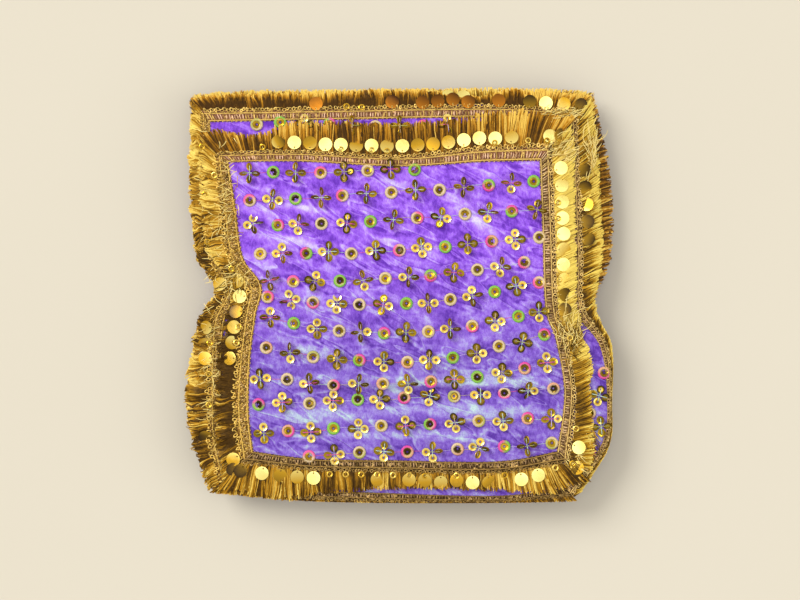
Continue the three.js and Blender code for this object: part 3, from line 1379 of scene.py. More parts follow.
@dataclass(frozen=True)
class Dressing:
    """How the trim of one side looks.

    Sequins are one letter each, walked along the side. They are all one gold, and a letter sets how
    bright each is painted, a painted reflection: b bright, g gold, o orange, c rosy, n brown, d
    dark; r only the small ring shows, - none. The first one is `start` along the braid and each
    next one is `step` further, `out` past the braid's rim, and higher by the lift.

    The tinsel has its tone, set side by side for how the light falls on that side: painted light
    where it is high and painted shade where it is low. It has so many layers of strands. The slant
    is how far its ends lie along from its roots, the reach its length for a usual one of 1, the
    root shade and tip light how much darker its roots and brighter its ends are, a painted shade
    and a painted light, the variety how far each strand's tone strays, and crumpled how loose it
    is, from 0, combed.
    """

    weave: Weave
    tinsel: float
    sequins: str = ""
    start: float = 5.0
    step: float = 10.8
    out: float = 4.4
    lift: float = 0.0
    slant: float = 1.0
    layers: int = 3
    reach: float = 1.0
    root_shade_tip_light: float = 0.25
    variety: float = 0.3
    crumpled: float = 0.0
    patches: tuple[Patch, ...] = ()


# The edge sequins are all one gold: each letter's tone is a painted reflection, from bright to
# dark, and the c ones are also painted a rosy tint.
SEQUIN_REFLECTION_TONES = {"b": 1.0, "g": 0.62, "o": 0.42, "c": 0.27, "n": 0.2, "d": 0.06}
ROSY_TINT = (1.0, 0.64, 0.75)


@dataclass
class Braid:
    """The woven braid round one stretch: a ribbon, two cords, rungs, stitches and loops.

    A cord is (place across the braid, radius, phase of its twist).
    """

    stretch: Stretch
    dressings: dict[Side, Dressing]
    finishes: Finishes
    ribbon_width: float = 8.4
    ribbon_wall: float = 0.4
    cords: tuple[tuple[float, float, float], ...] = ((1.2, 0.42, 0.0), (6.0, 0.5, 1.0))
    twist: float = 2.4
    rung_pitch: float = 1.95
    knot_pitch: float = 1.2
    loop_pitch: float = 2.1
    stitch_pitch: float = 1.7
    seed: int = 100

    def _ribbon(self, length: float, tint: Colour) -> bpy.types.Mesh:
        """Weave the flat ribbon, as a closed strip.

        Args:
            length: Its length.
            tint: Its colour.

        Returns:
            Its mesh.
        """
        bm = flat_strip(length, 2.2, 4)
        bmesh.ops.scale(bm, vec=(1, self.ribbon_width, 1), verts=bm.verts[:])
        bmesh.ops.translate(bm, vec=(0, 0.3, 0.1), verts=bm.verts[:])
        for vert in bm.verts:
            vert.co.z += 0.2 * math.sin(math.pi * min(vert.co.y / 9.0, 1))
        bmesh.ops.recalc_face_normals(bm, faces=bm.faces[:])
        bmesh.ops.solidify(bm, geom=bm.faces[:], thickness=self.ribbon_wall)
        lowest = min(vert.co.z for vert in bm.verts)
        bmesh.ops.translate(bm, vec=(0, 0, 0.1 - lowest), verts=bm.verts[:])
        mesh = finished(bm, 0)
        set_tones(mesh, np.full(len(mesh.vertices), 0.5))
        set_tints(mesh, tint)
        return mesh

    def _cord(
        self, length: float, across: float, radius: float, tint: Colour, phase: float
    ) -> bpy.types.Mesh:
        """Twist a two-ply cord along the strip.

        Args:
            length: Its length.
            across: Its place across the strip.
            radius: Its radius.
            tint: Its colour.
            phase: Where its twist starts.

        Returns:
            Its mesh.
        """
        cuts = int(length / 0.95)
        mesh = Bar(length, radius, radius, 5, cuts).mesh(1)
        mesh.transform(Matrix.Rotation(-math.pi / 2, 4, "Z"))
        points = read_points(mesh)
        angle = np.arctan2(points[:, 2], points[:, 1])
        swell = 1 + 0.22 * np.cos(2 * angle + points[:, 0] * self.twist + phase)
        points[:, 1:] *= swell[:, None]
        points[:, 1] += across
        points[:, 2] += 0.75
        write_points(mesh, points)
        glint = 0.2 * np.cos(2 * angle + points[:, 0] * self.twist + phase)
        set_tones(mesh, 0.55 + glint)
        set_tints(mesh, tint)
        return mesh

    def _rungs(
        self, length: float, look: Dressing, chance: random.Random, work: Gathering
    ) -> None:
        """Set pale rungs across the ribbon, between its two cords.

        Args:
            length: The strip's length.
            look: How the side looks.
            chance: The source of its chances.
            work: What they are added to.
        """
        rung = Bar(3.7, 0.36, 0.3, 3, 2, 0.9, 0.25).mesh(1)
        for index in range(int(length / self.rung_pitch)):
            x = (index + 0.5 + chance.uniform(-0.15, 0.15)) * self.rung_pitch
            lean = Matrix.Rotation(math.radians(chance.gauss(0, 5)), 4, "Z")
            place = Matrix.Translation((x, 1.8 + chance.gauss(0, 0.15), 0.72))
            size = Matrix.Diagonal((chance.uniform(0.7, 1.35), chance.uniform(0.75, 1.05), 1, 1))
            tint = chance.choice((look.weave.rung, look.weave.rung, look.weave.cord))
            work.add(rung, place @ lean @ size, chance.uniform(0.2, 1.1), tint)

    def _knots(
        self, length: float, look: Dressing, chance: random.Random, work: Gathering
    ) -> None:
        """Strew short gilt stitches over the ribbon, all ways, as in a close mesh.

        Args:
            length: The strip's length.
            look: How the side looks.
            chance: The source of its chances.
            work: What they are added to.
        """
        knot = Bar(1.25, 0.3, 0.26, 3, 1, 0.75, 0.2).mesh(1)
        for row in range(7):
            for index in range(int(length / self.knot_pitch)):
                x = (index + chance.random()) * self.knot_pitch
                y = 0.9 + 0.85 * row + chance.uniform(-0.3, 0.3)
                turn = Matrix.Rotation(math.radians(chance.uniform(-75, 75)), 4, "Z")
                place = Matrix.Translation((x, y, 0.7 + chance.uniform(-0.1, 0.35)))
                tint = chance.choice((look.weave.rung, look.weave.cord, look.weave.cord))
                work.add(knot, place @ turn, chance.uniform(-0.1, 1.15), tint)

    def _work(self, length: float, look: Dressing, seed: int) -> bpy.types.Mesh:
        """Work the rungs or knots, the edge stitches and the loops along the strip.

        Args:
            length: The strip's length.
            look: How the side looks.
            seed: A number that picks its chances.

        Returns:
            Their mesh.
        """
        chance = random.Random(seed)
        stitch = Bar(1.5, 0.22, 0.2, 3, 1, 0.8, 0.2).mesh(1)
        loops = [
            Coil(1.0, 0.42, 0.9, 8, 3, 1.25).mesh(1), Coil(1.25, 0.36, 0.9, 9, 3, 0.8).mesh(1),
            Coil(0.7, 0.48, 0.9, 7, 3, 1.6).mesh(1),
        ]
        rough = 1 + 2 * look.crumpled
        work = Gathering()
        if look.weave is Weave.GOLDEN:
            self._knots(length, look, chance, work)
        else:
            self._rungs(length, look, chance, work)
        for index in range(int(length / self.stitch_pitch)):
            x = (index + 0.5) * self.stitch_pitch + chance.uniform(-0.2, 0.2)
            turn = 38 if index % 2 else -38
            lean = Matrix.Rotation(math.radians(turn + chance.gauss(0, 9)), 4, "Z")
            place = Matrix.Translation((x, chance.uniform(-0.7, -0.3), 0.5))
            work.add(stitch, place @ lean, chance.uniform(0.4, 1.0), look.weave.cord)
        for index in range(int(length / self.loop_pitch)):
            x = (index + 0.5) * self.loop_pitch + chance.uniform(-0.3, 0.3)
            y = 7.9 + 0.7 * (index % 2) + chance.gauss(0, 0.25 * rough)
            place = Matrix.Translation((x, y, 1.3 + chance.uniform(-0.1, 0.5)))
            turn = Matrix.Rotation(math.radians(chance.gauss(0, 25)), 4, "Z")
            bend = tilted(chance.gauss(8, 18 * rough), chance.gauss(0, 18 * rough))
            tone = chance.uniform(0.3, 1.15)
            work.add(chance.choice(loops), place @ bend @ turn, tone, look.weave.cord)
        return work.mesh("braid_work")

    def build(self) -> bpy.types.Object:
        """Build the braid of every side and dress it.

        Returns:
            The piece.
        """
        name = self.stretch.name
        parts = []
        for side, look in self.dressings.items():
            length = self.stretch.length(side, Zone.BRAID)
            strips = [self._ribbon(length, look.weave.ground)]
            for across, radius, phase in self.cords:
                strips.append(self._cord(length, across, radius, look.weave.cord, phase))
            strips.append(self._work(length, look, self.seed + side.value))
            for strip in strips:
                self.stretch.lay(strip, side, Zone.BRAID, VELVET)
                parts.append(strip)
        mesh = joined(f"{name}_braid", parts)
        nodes = tuple(f"{name}_braid_{side.name.lower()}" for side in Side)
        return piece(
            f"{name}_braid", mesh, [self.finishes.ribbon, self.finishes.cord], nodes,
        )


@dataclass(frozen=True)
class Tangle:
    """Loose strands that lie across the trim where it is crumpled.

    They start within a spread of a spot, head one way in degrees, and fan out.
    """

    spot: Point
    spread: Point
    heading: float
    fan: float
    length: float
    count: int
    tone: float


@dataclass
class Fringe:
    """The tinsel fringe round one stretch, strand by strand.

    Strands are about a pitch apart, and the flat locks below them that times their own
    spacing. Where a smooth noise is below bare, there are none.
    """

    stretch: Stretch
    dressings: dict[Side, Dressing]
    finishes: Finishes
    tangles: tuple[Tangle, ...] = ()
    pitch: float = 0.62
    lock_spacing: float = 1.35
    bare: float = -0.62
    cuts: int = 3
    seed: int = 300
    tangle_seed: int = 700

    def _strands(self, side: Side, look: Dressing) -> bpy.types.Mesh:
        """Set one side's strands, as a flat strip.

        Args:
            side: The side.
            look: How it looks.

        Returns:
            Their mesh.
        """
        chance = random.Random(self.seed + 10 * side.value + len(self.stretch.name))
        length = self.stretch.length(side, Zone.FRINGE)
        lock = Bar(1.0, 0.7, 0.10, 3, self.cuts, 0.6, smooth=False).mesh(0)
        strand = Bar(1.0, 0.4, 0.10, 3, self.cuts, 0.65, smooth=False).mesh(0)
        strip = Gathering()
        for layer in range(look.layers):
            wide = layer == 0
            step = self.pitch * (self.lock_spacing if wide else 1.0)
            for index in range(int(length / step)):
                x = (index + chance.uniform(0.1, 0.9)) * step
                clump = noise.noise(Vector((x / 5.5, layer * 3.7, side.value + 0.5)))
                if clump < self.bare:
                    continue
                long = chance.uniform(0.94, 1.13) + 0.1 * clump
                lean = chance.gauss(0, 5) + (chance.gauss(0, 16) if chance.random() < 0.08 else 0)
                size = Matrix.Diagonal((chance.uniform(0.8, 1.25), long, 1, 1))
                start = Matrix.Translation((x, -0.12, 0.12 + 0.36 * layer))
                turn = Matrix.Identity(4)
                turn[0][1] = math.radians(lean) * 6
                # Each side's tinsel tone is painted light or shade for that side, and the wide
                # locks under the strands are painted darker still, a painted shade.
                tone = look.tinsel + chance.gauss(0, look.variety) - 0.35 * wide
                strip.add(lock if wide else strand, start @ turn @ size, tone)
        return strip.mesh("tinsel_strip")

    def _heading(self, side: Side, look: Dressing) -> bpy.types.Mesh:
        """Mat the yarn that the strands lie on, as a ragged closed strip.

        Args:
            side: The side.
            look: How it looks.

        Returns:
            Its mesh.
        """
        length = self.stretch.length(side, Zone.FRINGE)
        bm = flat_strip(length, 0.9, 3)
        seed = 21.0 + side.value
        for vert in bm.verts:
            rag = noise.noise(Vector((vert.co.x / 1.3, seed, 0)))
            rag += noise.noise(Vector((vert.co.x / 6.0, seed, 4)))
            vert.co.y = -0.1 + vert.co.y * (0.86 + 0.2 * rag)
            vert.co.z = 0.22 * noise.noise(Vector((vert.co.x / 1.1, vert.co.y, seed)))
        bmesh.ops.solidify(bm, geom=bm.faces[:], thickness=0.15)
        mesh = finished(bm, 0)
        points = read_points(mesh)
        streaks = ripple(points[:, 0], points[:, 1] * 0.7, 1.4, seed)
        # The matted heading lies under the strands and is painted darker than the tinsel, a painted
        # shade, with random streaks.
        set_tones(mesh, look.tinsel - 0.3 + 0.45 * streaks)
        set_tints(mesh, WHITE)
        return mesh

    def _comb(self, mesh: bpy.types.Mesh, side: Side, look: Dressing) -> None:
        """Shade a strip's strands by locks and patches, and gather, lean and wave them.

        Args:
            mesh: The strip.
            side: The side it is for.
            look: How that side looks.
        """
        seed = 2.0 + side.value
        points = read_points(mesh)
        x, y = points[:, 0].copy(), np.clip(points[:, 1], 0, None)
        t = self.stretch.share_at(side, Zone.FRINGE, x)
        loose = look.crumpled
        tones = read_tones(mesh)
        # Painted shade at the roots and painted light at the ends.
        tones += look.root_shade_tip_light * (2 * y**2 - 0.6)
        lock = 2 * np.pi * x / 3.6 + 2.5 * ripple(x, 0 * x, 11, seed + 60)
        # Painted light where a lock's strands gather and painted shade between the locks.
        tones += 0.32 * np.cos(lock) * y
        tones += 0.6 * ripple(x, y * 3, 4.5, seed + 20)
        tones += (0.3 + 0.8 * loose) * ripple(x, y * 8, 17, seed + 30)
        reach = np.full(len(x), look.reach)
        # A patch's tone is painted shade where it is below 0 and painted light where it is above.
        for patch in look.patches:
            tones += patch.tone * patch.weight(t)
            reach += patch.reach * patch.weight(t)
        set_tones(mesh, np.clip(tones, 0, 1))
        set_tints(mesh, look.weave.tinsel)
        points[:, 0] -= 0.5 * y * np.sin(lock)
        points[:, 0] += look.slant * y + (2.2 + 9 * loose) * y * ripple(x, y * 7, 9, seed)
        points[:, 0] += (0.8 + 5 * loose) * y * ripple(x, y * 12, 4, seed + 5)
        points[:, 1] *= reach * (1 + (0.1 + 0.5 * loose) * ripple(x, y, 7, seed + 40))
        points[:, 2] += (0.7 + 5 * loose) * y * ripple(x, y * 8, 6, seed + 9)
        points[:, 2] += 0.25 * np.sin(np.pi * np.clip(y, 0, 1))
        write_points(mesh, points)

    def _tangle(self, tangle: Tangle, seed: int) -> bpy.types.Mesh:
        """Return a tangle's strands, each bent its own way and laid over the trim.

        Args:
            tangle: The tangle.
            seed: A number that picks its chances.

        Returns:
            Its mesh, in metres.
        """
        chance = random.Random(seed)
        strand = Bar(1.0, 0.3, 0.15, 3, 5, 0.5, smooth=False).mesh(0)
        heap = Gathering()
        for _ in range(tangle.count):
            spot = [chance.gauss(m, w) for m, w in zip(tangle.spot, tangle.spread)]
            turn = math.radians(tangle.heading + chance.gauss(0, tangle.fan) - 90)
            long = tangle.length * chance.uniform(0.6, 1.25)
            copy = strand.copy()
            points = read_points(copy)
            along = points[:, 1].copy()
            points[:, 0] += long * chance.gauss(0, 0.1) * np.sin(np.pi * along)
            points[:, 1] *= long
            points[:, 2] += chance.uniform(0.4, 1.6) + 1.2 * np.sin(np.pi * along)
            write_points(copy, points)
            place = Matrix.Translation((*spot, 0)) @ Matrix.Rotation(turn, 4, "Z")
            tone = tangle.tone + chance.gauss(0, 0.5)
            heap.add(copy, place, min(max(tone, 0), 1))
            bpy.data.meshes.remove(copy)
        mesh = heap.mesh("tangle")
        points = read_points(mesh)
        ground = self.stretch.height(points[:, 0], points[:, 1]) + VELVET + 0.6
        points[:, 2] += ground
        write_points(mesh, points * MM)
        return mesh

    def build(self) -> bpy.types.Object:
        """Build the fringe of every side and dress it.

        Returns:
            The piece.
        """
        name = self.stretch.name
        parts = []
        for side, look in self.dressings.items():
            for strip in (self._strands(side, look), self._heading(side, look)):
                self._comb(strip, side, look)
                self.stretch.lay(strip, side, Zone.FRINGE, VELVET + SEAM)
                parts.append(strip)
        for index, tangle in enumerate(self.tangles):
            parts.append(self._tangle(tangle, self.tangle_seed + index))
        mesh = joined(f"{name}_fringe", parts)
        nodes = tuple(f"{name}_fringe_{side.name.lower()}" for side in Side)
        return piece(f"{name}_fringe", mesh, [self.finishes.tinsel], nodes)


@dataclass
class EdgeSequins:
    """The row of flat sequins sewn along the braid of one stretch.

    A sequin lies a height over the fringe. Its small ring and its stitch lie further in
    than its middle, by the amounts given.
    """

    stretch: Stretch
    dressings: dict[Side, Dressing]
    finishes: Finishes
    radius: float = 4.7
    height: float = 1.75
    ring_in: float = 3.2
    stitch_in: float = 5.0
    seed: int = 41
    disc: Sequin = field(init=False)
    ring: Sequin = field(init=False)

    def __post_init__(self) -> None:
        """Work out the two sequins."""
        self.disc = Sequin(((self.radius, 0.0, 0.0), (0.55, 0.06, 3.4)), 20, 0.14)
        self.ring = Sequin(((2.25, 0.3, 0.0), (1.7, 0.5, 0.0), (1.0, 0.2, 0.0)), 10, 0.12)

    def _place(self, side: Side, t: float, out: float, lift: float) -> Matrix:
        """Work out the place of a sequin beyond the rim, its hole towards the braid.

        Args:
            side: The side.
            t: Its share of the way along.
            out: How far past the rim it is.
            lift: How high it is over the fringe.

        Returns:
            The place.
        """
        spot = [float(v[0]) for v in self.stretch.walk(side, t, 1.0, out)]
        ahead = [float(v[0]) for v in self.stretch.walk(side, t, 1.0, out + 1)]
        outward = Vector((ahead[0] - spot[0], ahead[1] - spot[1], 0)).normalized()
        reach = max(float(self.stretch.row(side, np.array([t]))[0, 3]), 6.0)
        share = min(out / reach, 1.0)
        z = self.stretch.height_at(*spot)
        z += VELVET + SEAM + lift - self.stretch.droop * reach * share**2
        fall = math.atan(2 * self.stretch.droop * share)
        normal = Vector((0, 0, 1)) * math.cos(fall) + outward * math.sin(fall)
        return standing(Vector((spot[0], spot[1], z)), outward, normal)

    def build(self) -> bpy.types.Object:
        """Build the rows and dress them.

        Returns:
            The piece.
        """
        discs, rings = self.disc.mesh(0), self.ring.mesh(0)
        stitch = Bar(2.4, 0.2, 0.16, 4, 2, 0.8, 0.35).mesh(1)
        rows = Gathering()
        chance = random.Random(self.seed + len(self.stretch.name))
        flat = read_points(discs) / self.radius
        inner = np.hypot(*read_points(rings)[:, :2].T) < 1.3
        for side, look in self.dressings.items():
            for index, letter in enumerate(look.sequins):
                if letter == "-":
                    continue
                along = np.array([look.start + index * look.step])
                t = float(self.stretch.share_at(side, Zone.BRAID, along)[0])
                tone = SEQUIN_REFLECTION_TONES.get(letter, 0.6) + chance.gauss(0, 0.05)
                spread = 2.0 if letter in "bc" else 8.0
                spread += 22.0 * look.crumpled
                pitch = chance.gauss(-1.0 if letter == "b" else -4.0, spread)
                roll = chance.gauss(0, spread)
                out = look.out + chance.gauss(0, 0.4)
                lift = self.height + 0.12 * (index % 2) + 0.5 * look.crumpled + look.lift
                if letter != "r":
                    place = self._place(side, t, out, lift) @ tilted(pitch, roll)
                    # A painted reflection across each disc, brighter towards its hole and a little
                    # to one side at random.
                    shade = -0.16 * flat[:, 1] + chance.gauss(0, 0.12) * flat[:, 0]
                    tint = ROSY_TINT if letter == "c" else WHITE
                    rows.add(discs, place, np.clip(tone + shade, 0, 1), tint)
                if letter == "r" or (letter in "bgo" and chance.random() < 0.35):
                    place = self._place(side, t, out - self.ring_in, lift + 0.5)
                    tip = tilted(chance.gauss(0, 9), chance.gauss(0, 9))
                    tone = chance.uniform(0.45, 0.75)
                    # The small ring's points round its hole are painted dark, a painted shade in
                    # the hole.
                    rows.add(rings, place @ tip, np.where(inner, 0.1, tone))
                place = self._place(side, t, out - self.stitch_in, lift + 0.1)
                rows.add(stitch, place, 0.8, look.weave.cord)
        mesh = rows.mesh(f"{self.stretch.name}_sequins")
        mesh.transform(Matrix.Scale(MM, 4))
        return piece(
            f"{self.stretch.name}_sequins", mesh, [self.finishes.sequin, self.finishes.cord],
        )


class Motif(Enum):
    """What is worked on the velvet at one spot."""

    FLOWER = "flower"
    RING = "ring"


@dataclass(frozen=True)
class MotifRow:
    """A row of motifs, flowers and rings by turns, on a gentle curve through three spots.

    Its rings have a letter each for their threads, and a dot leaves them to chance. Lively
    is the chance that a flower's sequin lies flat and bright.
    """

    left: Point
    middle: Point
    right: Point
    first: Motif
    lively: float
    rings: str
    count: int = 13

    def spots(self) -> list[tuple[float, float, Motif]]:
        """Work out the row's spots.

        Returns:
            Each motif's place and what it is.
        """
        kinds = [Motif.FLOWER, Motif.RING]
        offset = kinds.index(self.first)
        spots = []
        for index in range(self.count):
            s = index / (self.count - 1)
            weights = ((1 - s) * (1 - 2 * s), 4 * s * (1 - s), s * (2 * s - 1))
            ends = (self.left, self.middle, self.right)
            x = sum(w * end[0] for w, end in zip(weights, ends))
            y = sum(w * end[1] for w, end in zip(weights, ends))
            spots.append((x, y, kinds[(index + offset) % 2]))
        return spots


THREADS: dict[str, Colour] = {
    "mint": (0.56, 0.76, 0.58),
    "lilac": (0.62, 0.48, 0.85),
    "pink": (0.80, 0.07, 0.30),
    "magenta": (0.70, 0.03, 0.31),
    "lime": (0.19, 0.46, 0.02),
    "olive": (0.42, 0.40, 0.07),
    "cream": (0.64, 0.48, 0.26),
    "peach": (0.68, 0.33, 0.18),
}
FLOWER_THREADS = (
    ("mint", "mint"), ("lilac", "pink"), ("cream", "mint"), ("cream", "olive"), ("mint", "olive"),
)
# Tones of a flower's standing sequins, all one gold: painted reflections, closed flowers' paler
# than open ones.
CLOSED_SHADES = (0.12, 0.2, 0.3, 0.42, 0.5)
OPEN_SHADES = (0.0, 0.0, 0.08, 0.3, 0.45)
RING_THREADS: dict[str, tuple[str, str]] = {
    "p": ("pink", "cream"),
    "g": ("lime", "lime"),
    "a": ("cream", "peach"),
    "m": ("lime", "magenta"),
    "r": ("magenta", "peach"),
    "o": ("olive", "cream"),
    "c": ("cream", "cream"),
}


@dataclass
class Embroidery:
    """Sequin flowers, thread rings and the threads between them, on the velvet.

    The petal is how far a flower's sequins lie from its middle.
    """

    top: Stretch
    second: Stretch
    finishes: Finishes
    rows: tuple[MotifRow, ...]
    strays: tuple[tuple[float, float, Motif], ...]
    petal: float = 4.4
    ring_radius: float = 3.35
    seed: int = 77

    def __post_init__(self) -> None:
        """Make the small shapes."""
        self.chance = random.Random(self.seed)
        self.cup = Sequin(((2.95, 0.5, 0.0), (1.9, 0.14, 0.0), (0.7, 0.1, 0.0)), 12, 0.12).mesh(0)
        radius = np.hypot(*read_points(self.cup)[:, :2].T)
        # Round the hole the tone is painted: darker on most sequins, a painted shade, and lighter
        # on the darkest, a painted highlight.
        self.eye = np.interp(radius, (0.7, 1.9, 2.9), (1.0, 0.2, 0.0))
        self.stitch = Bar(self.petal + 1.2, 0.27, 0.24, 4, 2, 0.9, 0.5).mesh(0)
        self.short_stitch = Bar(self.petal - 0.5, 0.24, 0.24, 4, 2, 0.9, 0.5).mesh(0)
        self.ring = Coil(self.ring_radius, 1.15, 0.5, 26, 5, 1.0, 0.07).mesh(0)
        self.sequins, self.threads = Gathering(), Gathering()

    def _ground(self, stretch: Stretch, x: float, y: float, turn: float) -> Matrix:
        """Work out the place of a motif that lies on the velvet.

        Args:
            stretch: The stretch it is on.
            x: Its place along X.
            y: Its place along Y.
            turn: How far it is turned, in radians.

        Returns:
            The place.
        """
        z = stretch.height_at(x, y) + VELVET
        outward = Vector((math.sin(turn), math.cos(turn), 0))
        return standing(Vector((x, y, z)), outward, stretch.normal(x, y))

    def _flower(self, ground: Matrix, lively: float) -> None:
        """Work four cupped sequins, each held by a stitch from the middle.

        Args:
            ground: Its place.
            lively: The chance that a sequin lies flat.
        """
        tints = self.chance.choice(FLOWER_THREADS)
        closed = self.chance.random() > 1.6 * lively
        for quarter in range(4):
            spin = Matrix.Rotation(math.pi / 2 * quarter, 4, "Z")
            flat = self.chance.random() < lively
            # A flat sequin is painted bright and a standing one darker, a painted reflection.
            if flat:
                tone = self.chance.uniform(0.84, 1.0) - 0.75 * self.eye
                roll = self.chance.gauss(0, 5)
            else:
                shade = self.chance.choice(CLOSED_SHADES if closed else OPEN_SHADES)
                tone = shade + (0.4 if shade < 0.15 else -0.2) * self.eye
                lowest = 40 if closed else 12
                roll = self.chance.choice((-1, 1)) * self.chance.uniform(lowest, lowest + 24)
            tint = WHITE if flat else (0.85, 0.98, 0.85)
            tip = tilted(self.chance.gauss(0, 6), roll)
            height = 0.25 + 2.5 * abs(math.sin(math.radians(roll)))
            out = Matrix.Translation((0, self.petal, height))
            self.sequins.add(self.cup, ground @ spin @ out @ tip, np.clip(tone, 0, 1), tint)
            raised = Matrix.Translation((0, 0.1, 0.5 + 0.8 * height))
            tint = THREADS[tints[quarter % 2]]
            stitch = self.short_stitch if flat else self.stitch
            self.threads.add(stitch, ground @ spin @ raised, 0.5, tint)

    def _ring(self, ground: Matrix, letter: str = ".") -> None:
        """Work a thread ring round a small sequin, in one or two colours.

        Args:
            ground: Its place.
            letter: Its threads, or a dot for chance.
        """
        drawn = self.chance.choice(tuple(RING_THREADS.values()))
        pair = RING_THREADS.get(letter, drawn)
        points = read_points(self.ring)
        angle = np.arctan2(points[:, 1], points[:, 0]) + self.chance.uniform(0, 2 * math.pi)
        share = (0.5 + 0.5 * np.tanh(3 * np.cos(angle)))[:, None]
        tints = share * np.array(THREADS[pair[0]]) + (1 - share) * np.array(THREADS[pair[1]])
        outer = np.hypot(points[:, 0], points[:, 1])[:, None] - self.ring_radius
        core = np.clip(-0.75 - 1.6 * outer, 0, 1)
        inside = THREADS[self.chance.choice(("cream", "olive"))]
        tints = core * np.array(inside) + (1 - core) * tints
        lift = Matrix.Translation((0, 0, 0.55))
        self.threads.add(self.ring, ground @ lift, 0.5, tints)
        # The middle sequin's tone is a painted reflection, painted darker round its hole.
        tone = self.chance.choice((0.1, 0.2, 0.3, 0.4, 0.5)) - 0.4 * self.eye
        tip = tilted(self.chance.gauss(0, 12), self.chance.gauss(0, 12))
        seat = ground @ Matrix.Translation((0, 0, 0.35)) @ tip
        self.sequins.add(self.cup, seat, np.clip(tone, 0, 1), (0.92, 1.0, 0.8))

    def _jump(self, start: Point, end: Point, tint: Colour) -> None:
        """Lay a thread on the velvet from one motif to the next.

        Args:
            start: The first motif.
            end: The next one.
            tint: The thread's colour.
        """
        ahead = np.subtract(end, start)
        length = float(np.hypot(*ahead))
        ahead = ahead / length
        run = Bar(length - 5, 0.13, 0.12, 4, 5).mesh(0)
        points = read_points(run)
        along = points[:, 1] + 2.5
        bow = 0.5 * self.chance.gauss(0, 1) * np.sin(np.pi * along / length)
        aside = points[:, 0] + bow
        x = start[0] + ahead[0] * along + ahead[1] * aside
        y = start[1] + ahead[1] * along - ahead[0] * aside
        z = self.top.height(x, y) + VELVET + 0.15 + points[:, 2]
        write_points(run, np.stack((x, y, z), axis=1))
        self.threads.add(run, Matrix.Identity(4), 0.5, tint)

    def _inside(self, x: float, y: float, margin: float) -> bool:
        """Test whether a spot lies inside the top velvet's four lines.

        Args:
            x: Its place along X.
            y: Its place along Y.
            margin: How far inside it has to be.

        Returns:
            Whether it does.
        """
        for side in Side:
            t = np.linspace(0, 1, 60)
            xs, ys = self.top.walk(side, t, np.zeros(60))
            along, line = (xs, ys) if side.along_x else (ys, xs)
            spot, far = (x, y) if side.along_x else (y, x)
            order = np.argsort(along)
            edge = float(np.interp(spot, along[order], line[order]))
            sign = side.outward.sum()
            if sign * (edge - far) < margin:
                return False
        return True

    def build(self) -> list[bpy.types.Object]:
        """Work every motif and dress them.

        Returns:
            The sequins' piece and the threads' piece.
        """
        for row in self.rows:
            before = None
            for index, (x, y, kind) in enumerate(row.spots()):
                x += self.chance.gauss(0, 0.5)
                y += self.chance.gauss(0, 0.5)
                if not self._inside(x, y, 0.8):
                    before = None
                    continue
                turn = math.radians(self.chance.gauss(0, 6))
                ground = self._ground(self.top, x, y, turn)
                if kind is Motif.FLOWER:
                    self._flower(ground, row.lively)
                else:
                    self._ring(ground, row.rings[index // 2])
                if before is not None and self.chance.random() < 0.75:
                    tint = THREADS[self.chance.choice(("cream", "lilac", "pink", "mint"))]
                    self._jump(before, (x, y), tint)
                before = (x, y)
        for x, y, kind in self.strays:
            turn = math.radians(self.chance.gauss(0, 8))
            ground = self._ground(self.second, x, y, turn)
            if kind is Motif.FLOWER:
                self._flower(ground, 0.3)
            else:
                self._ring(ground)
        sequins = self.sequins.mesh("flower_sequins")
        threads = self.threads.mesh("embroidery_threads")
        for mesh in (sequins, threads):
            mesh.transform(Matrix.Scale(MM, 4))
        return [
            piece("flower_sequins", sequins, [self.finishes.sequin]),
            piece("embroidery_threads", threads, [self.finishes.thread]),
        ]


# ------------------------------------------------------------------ this packet


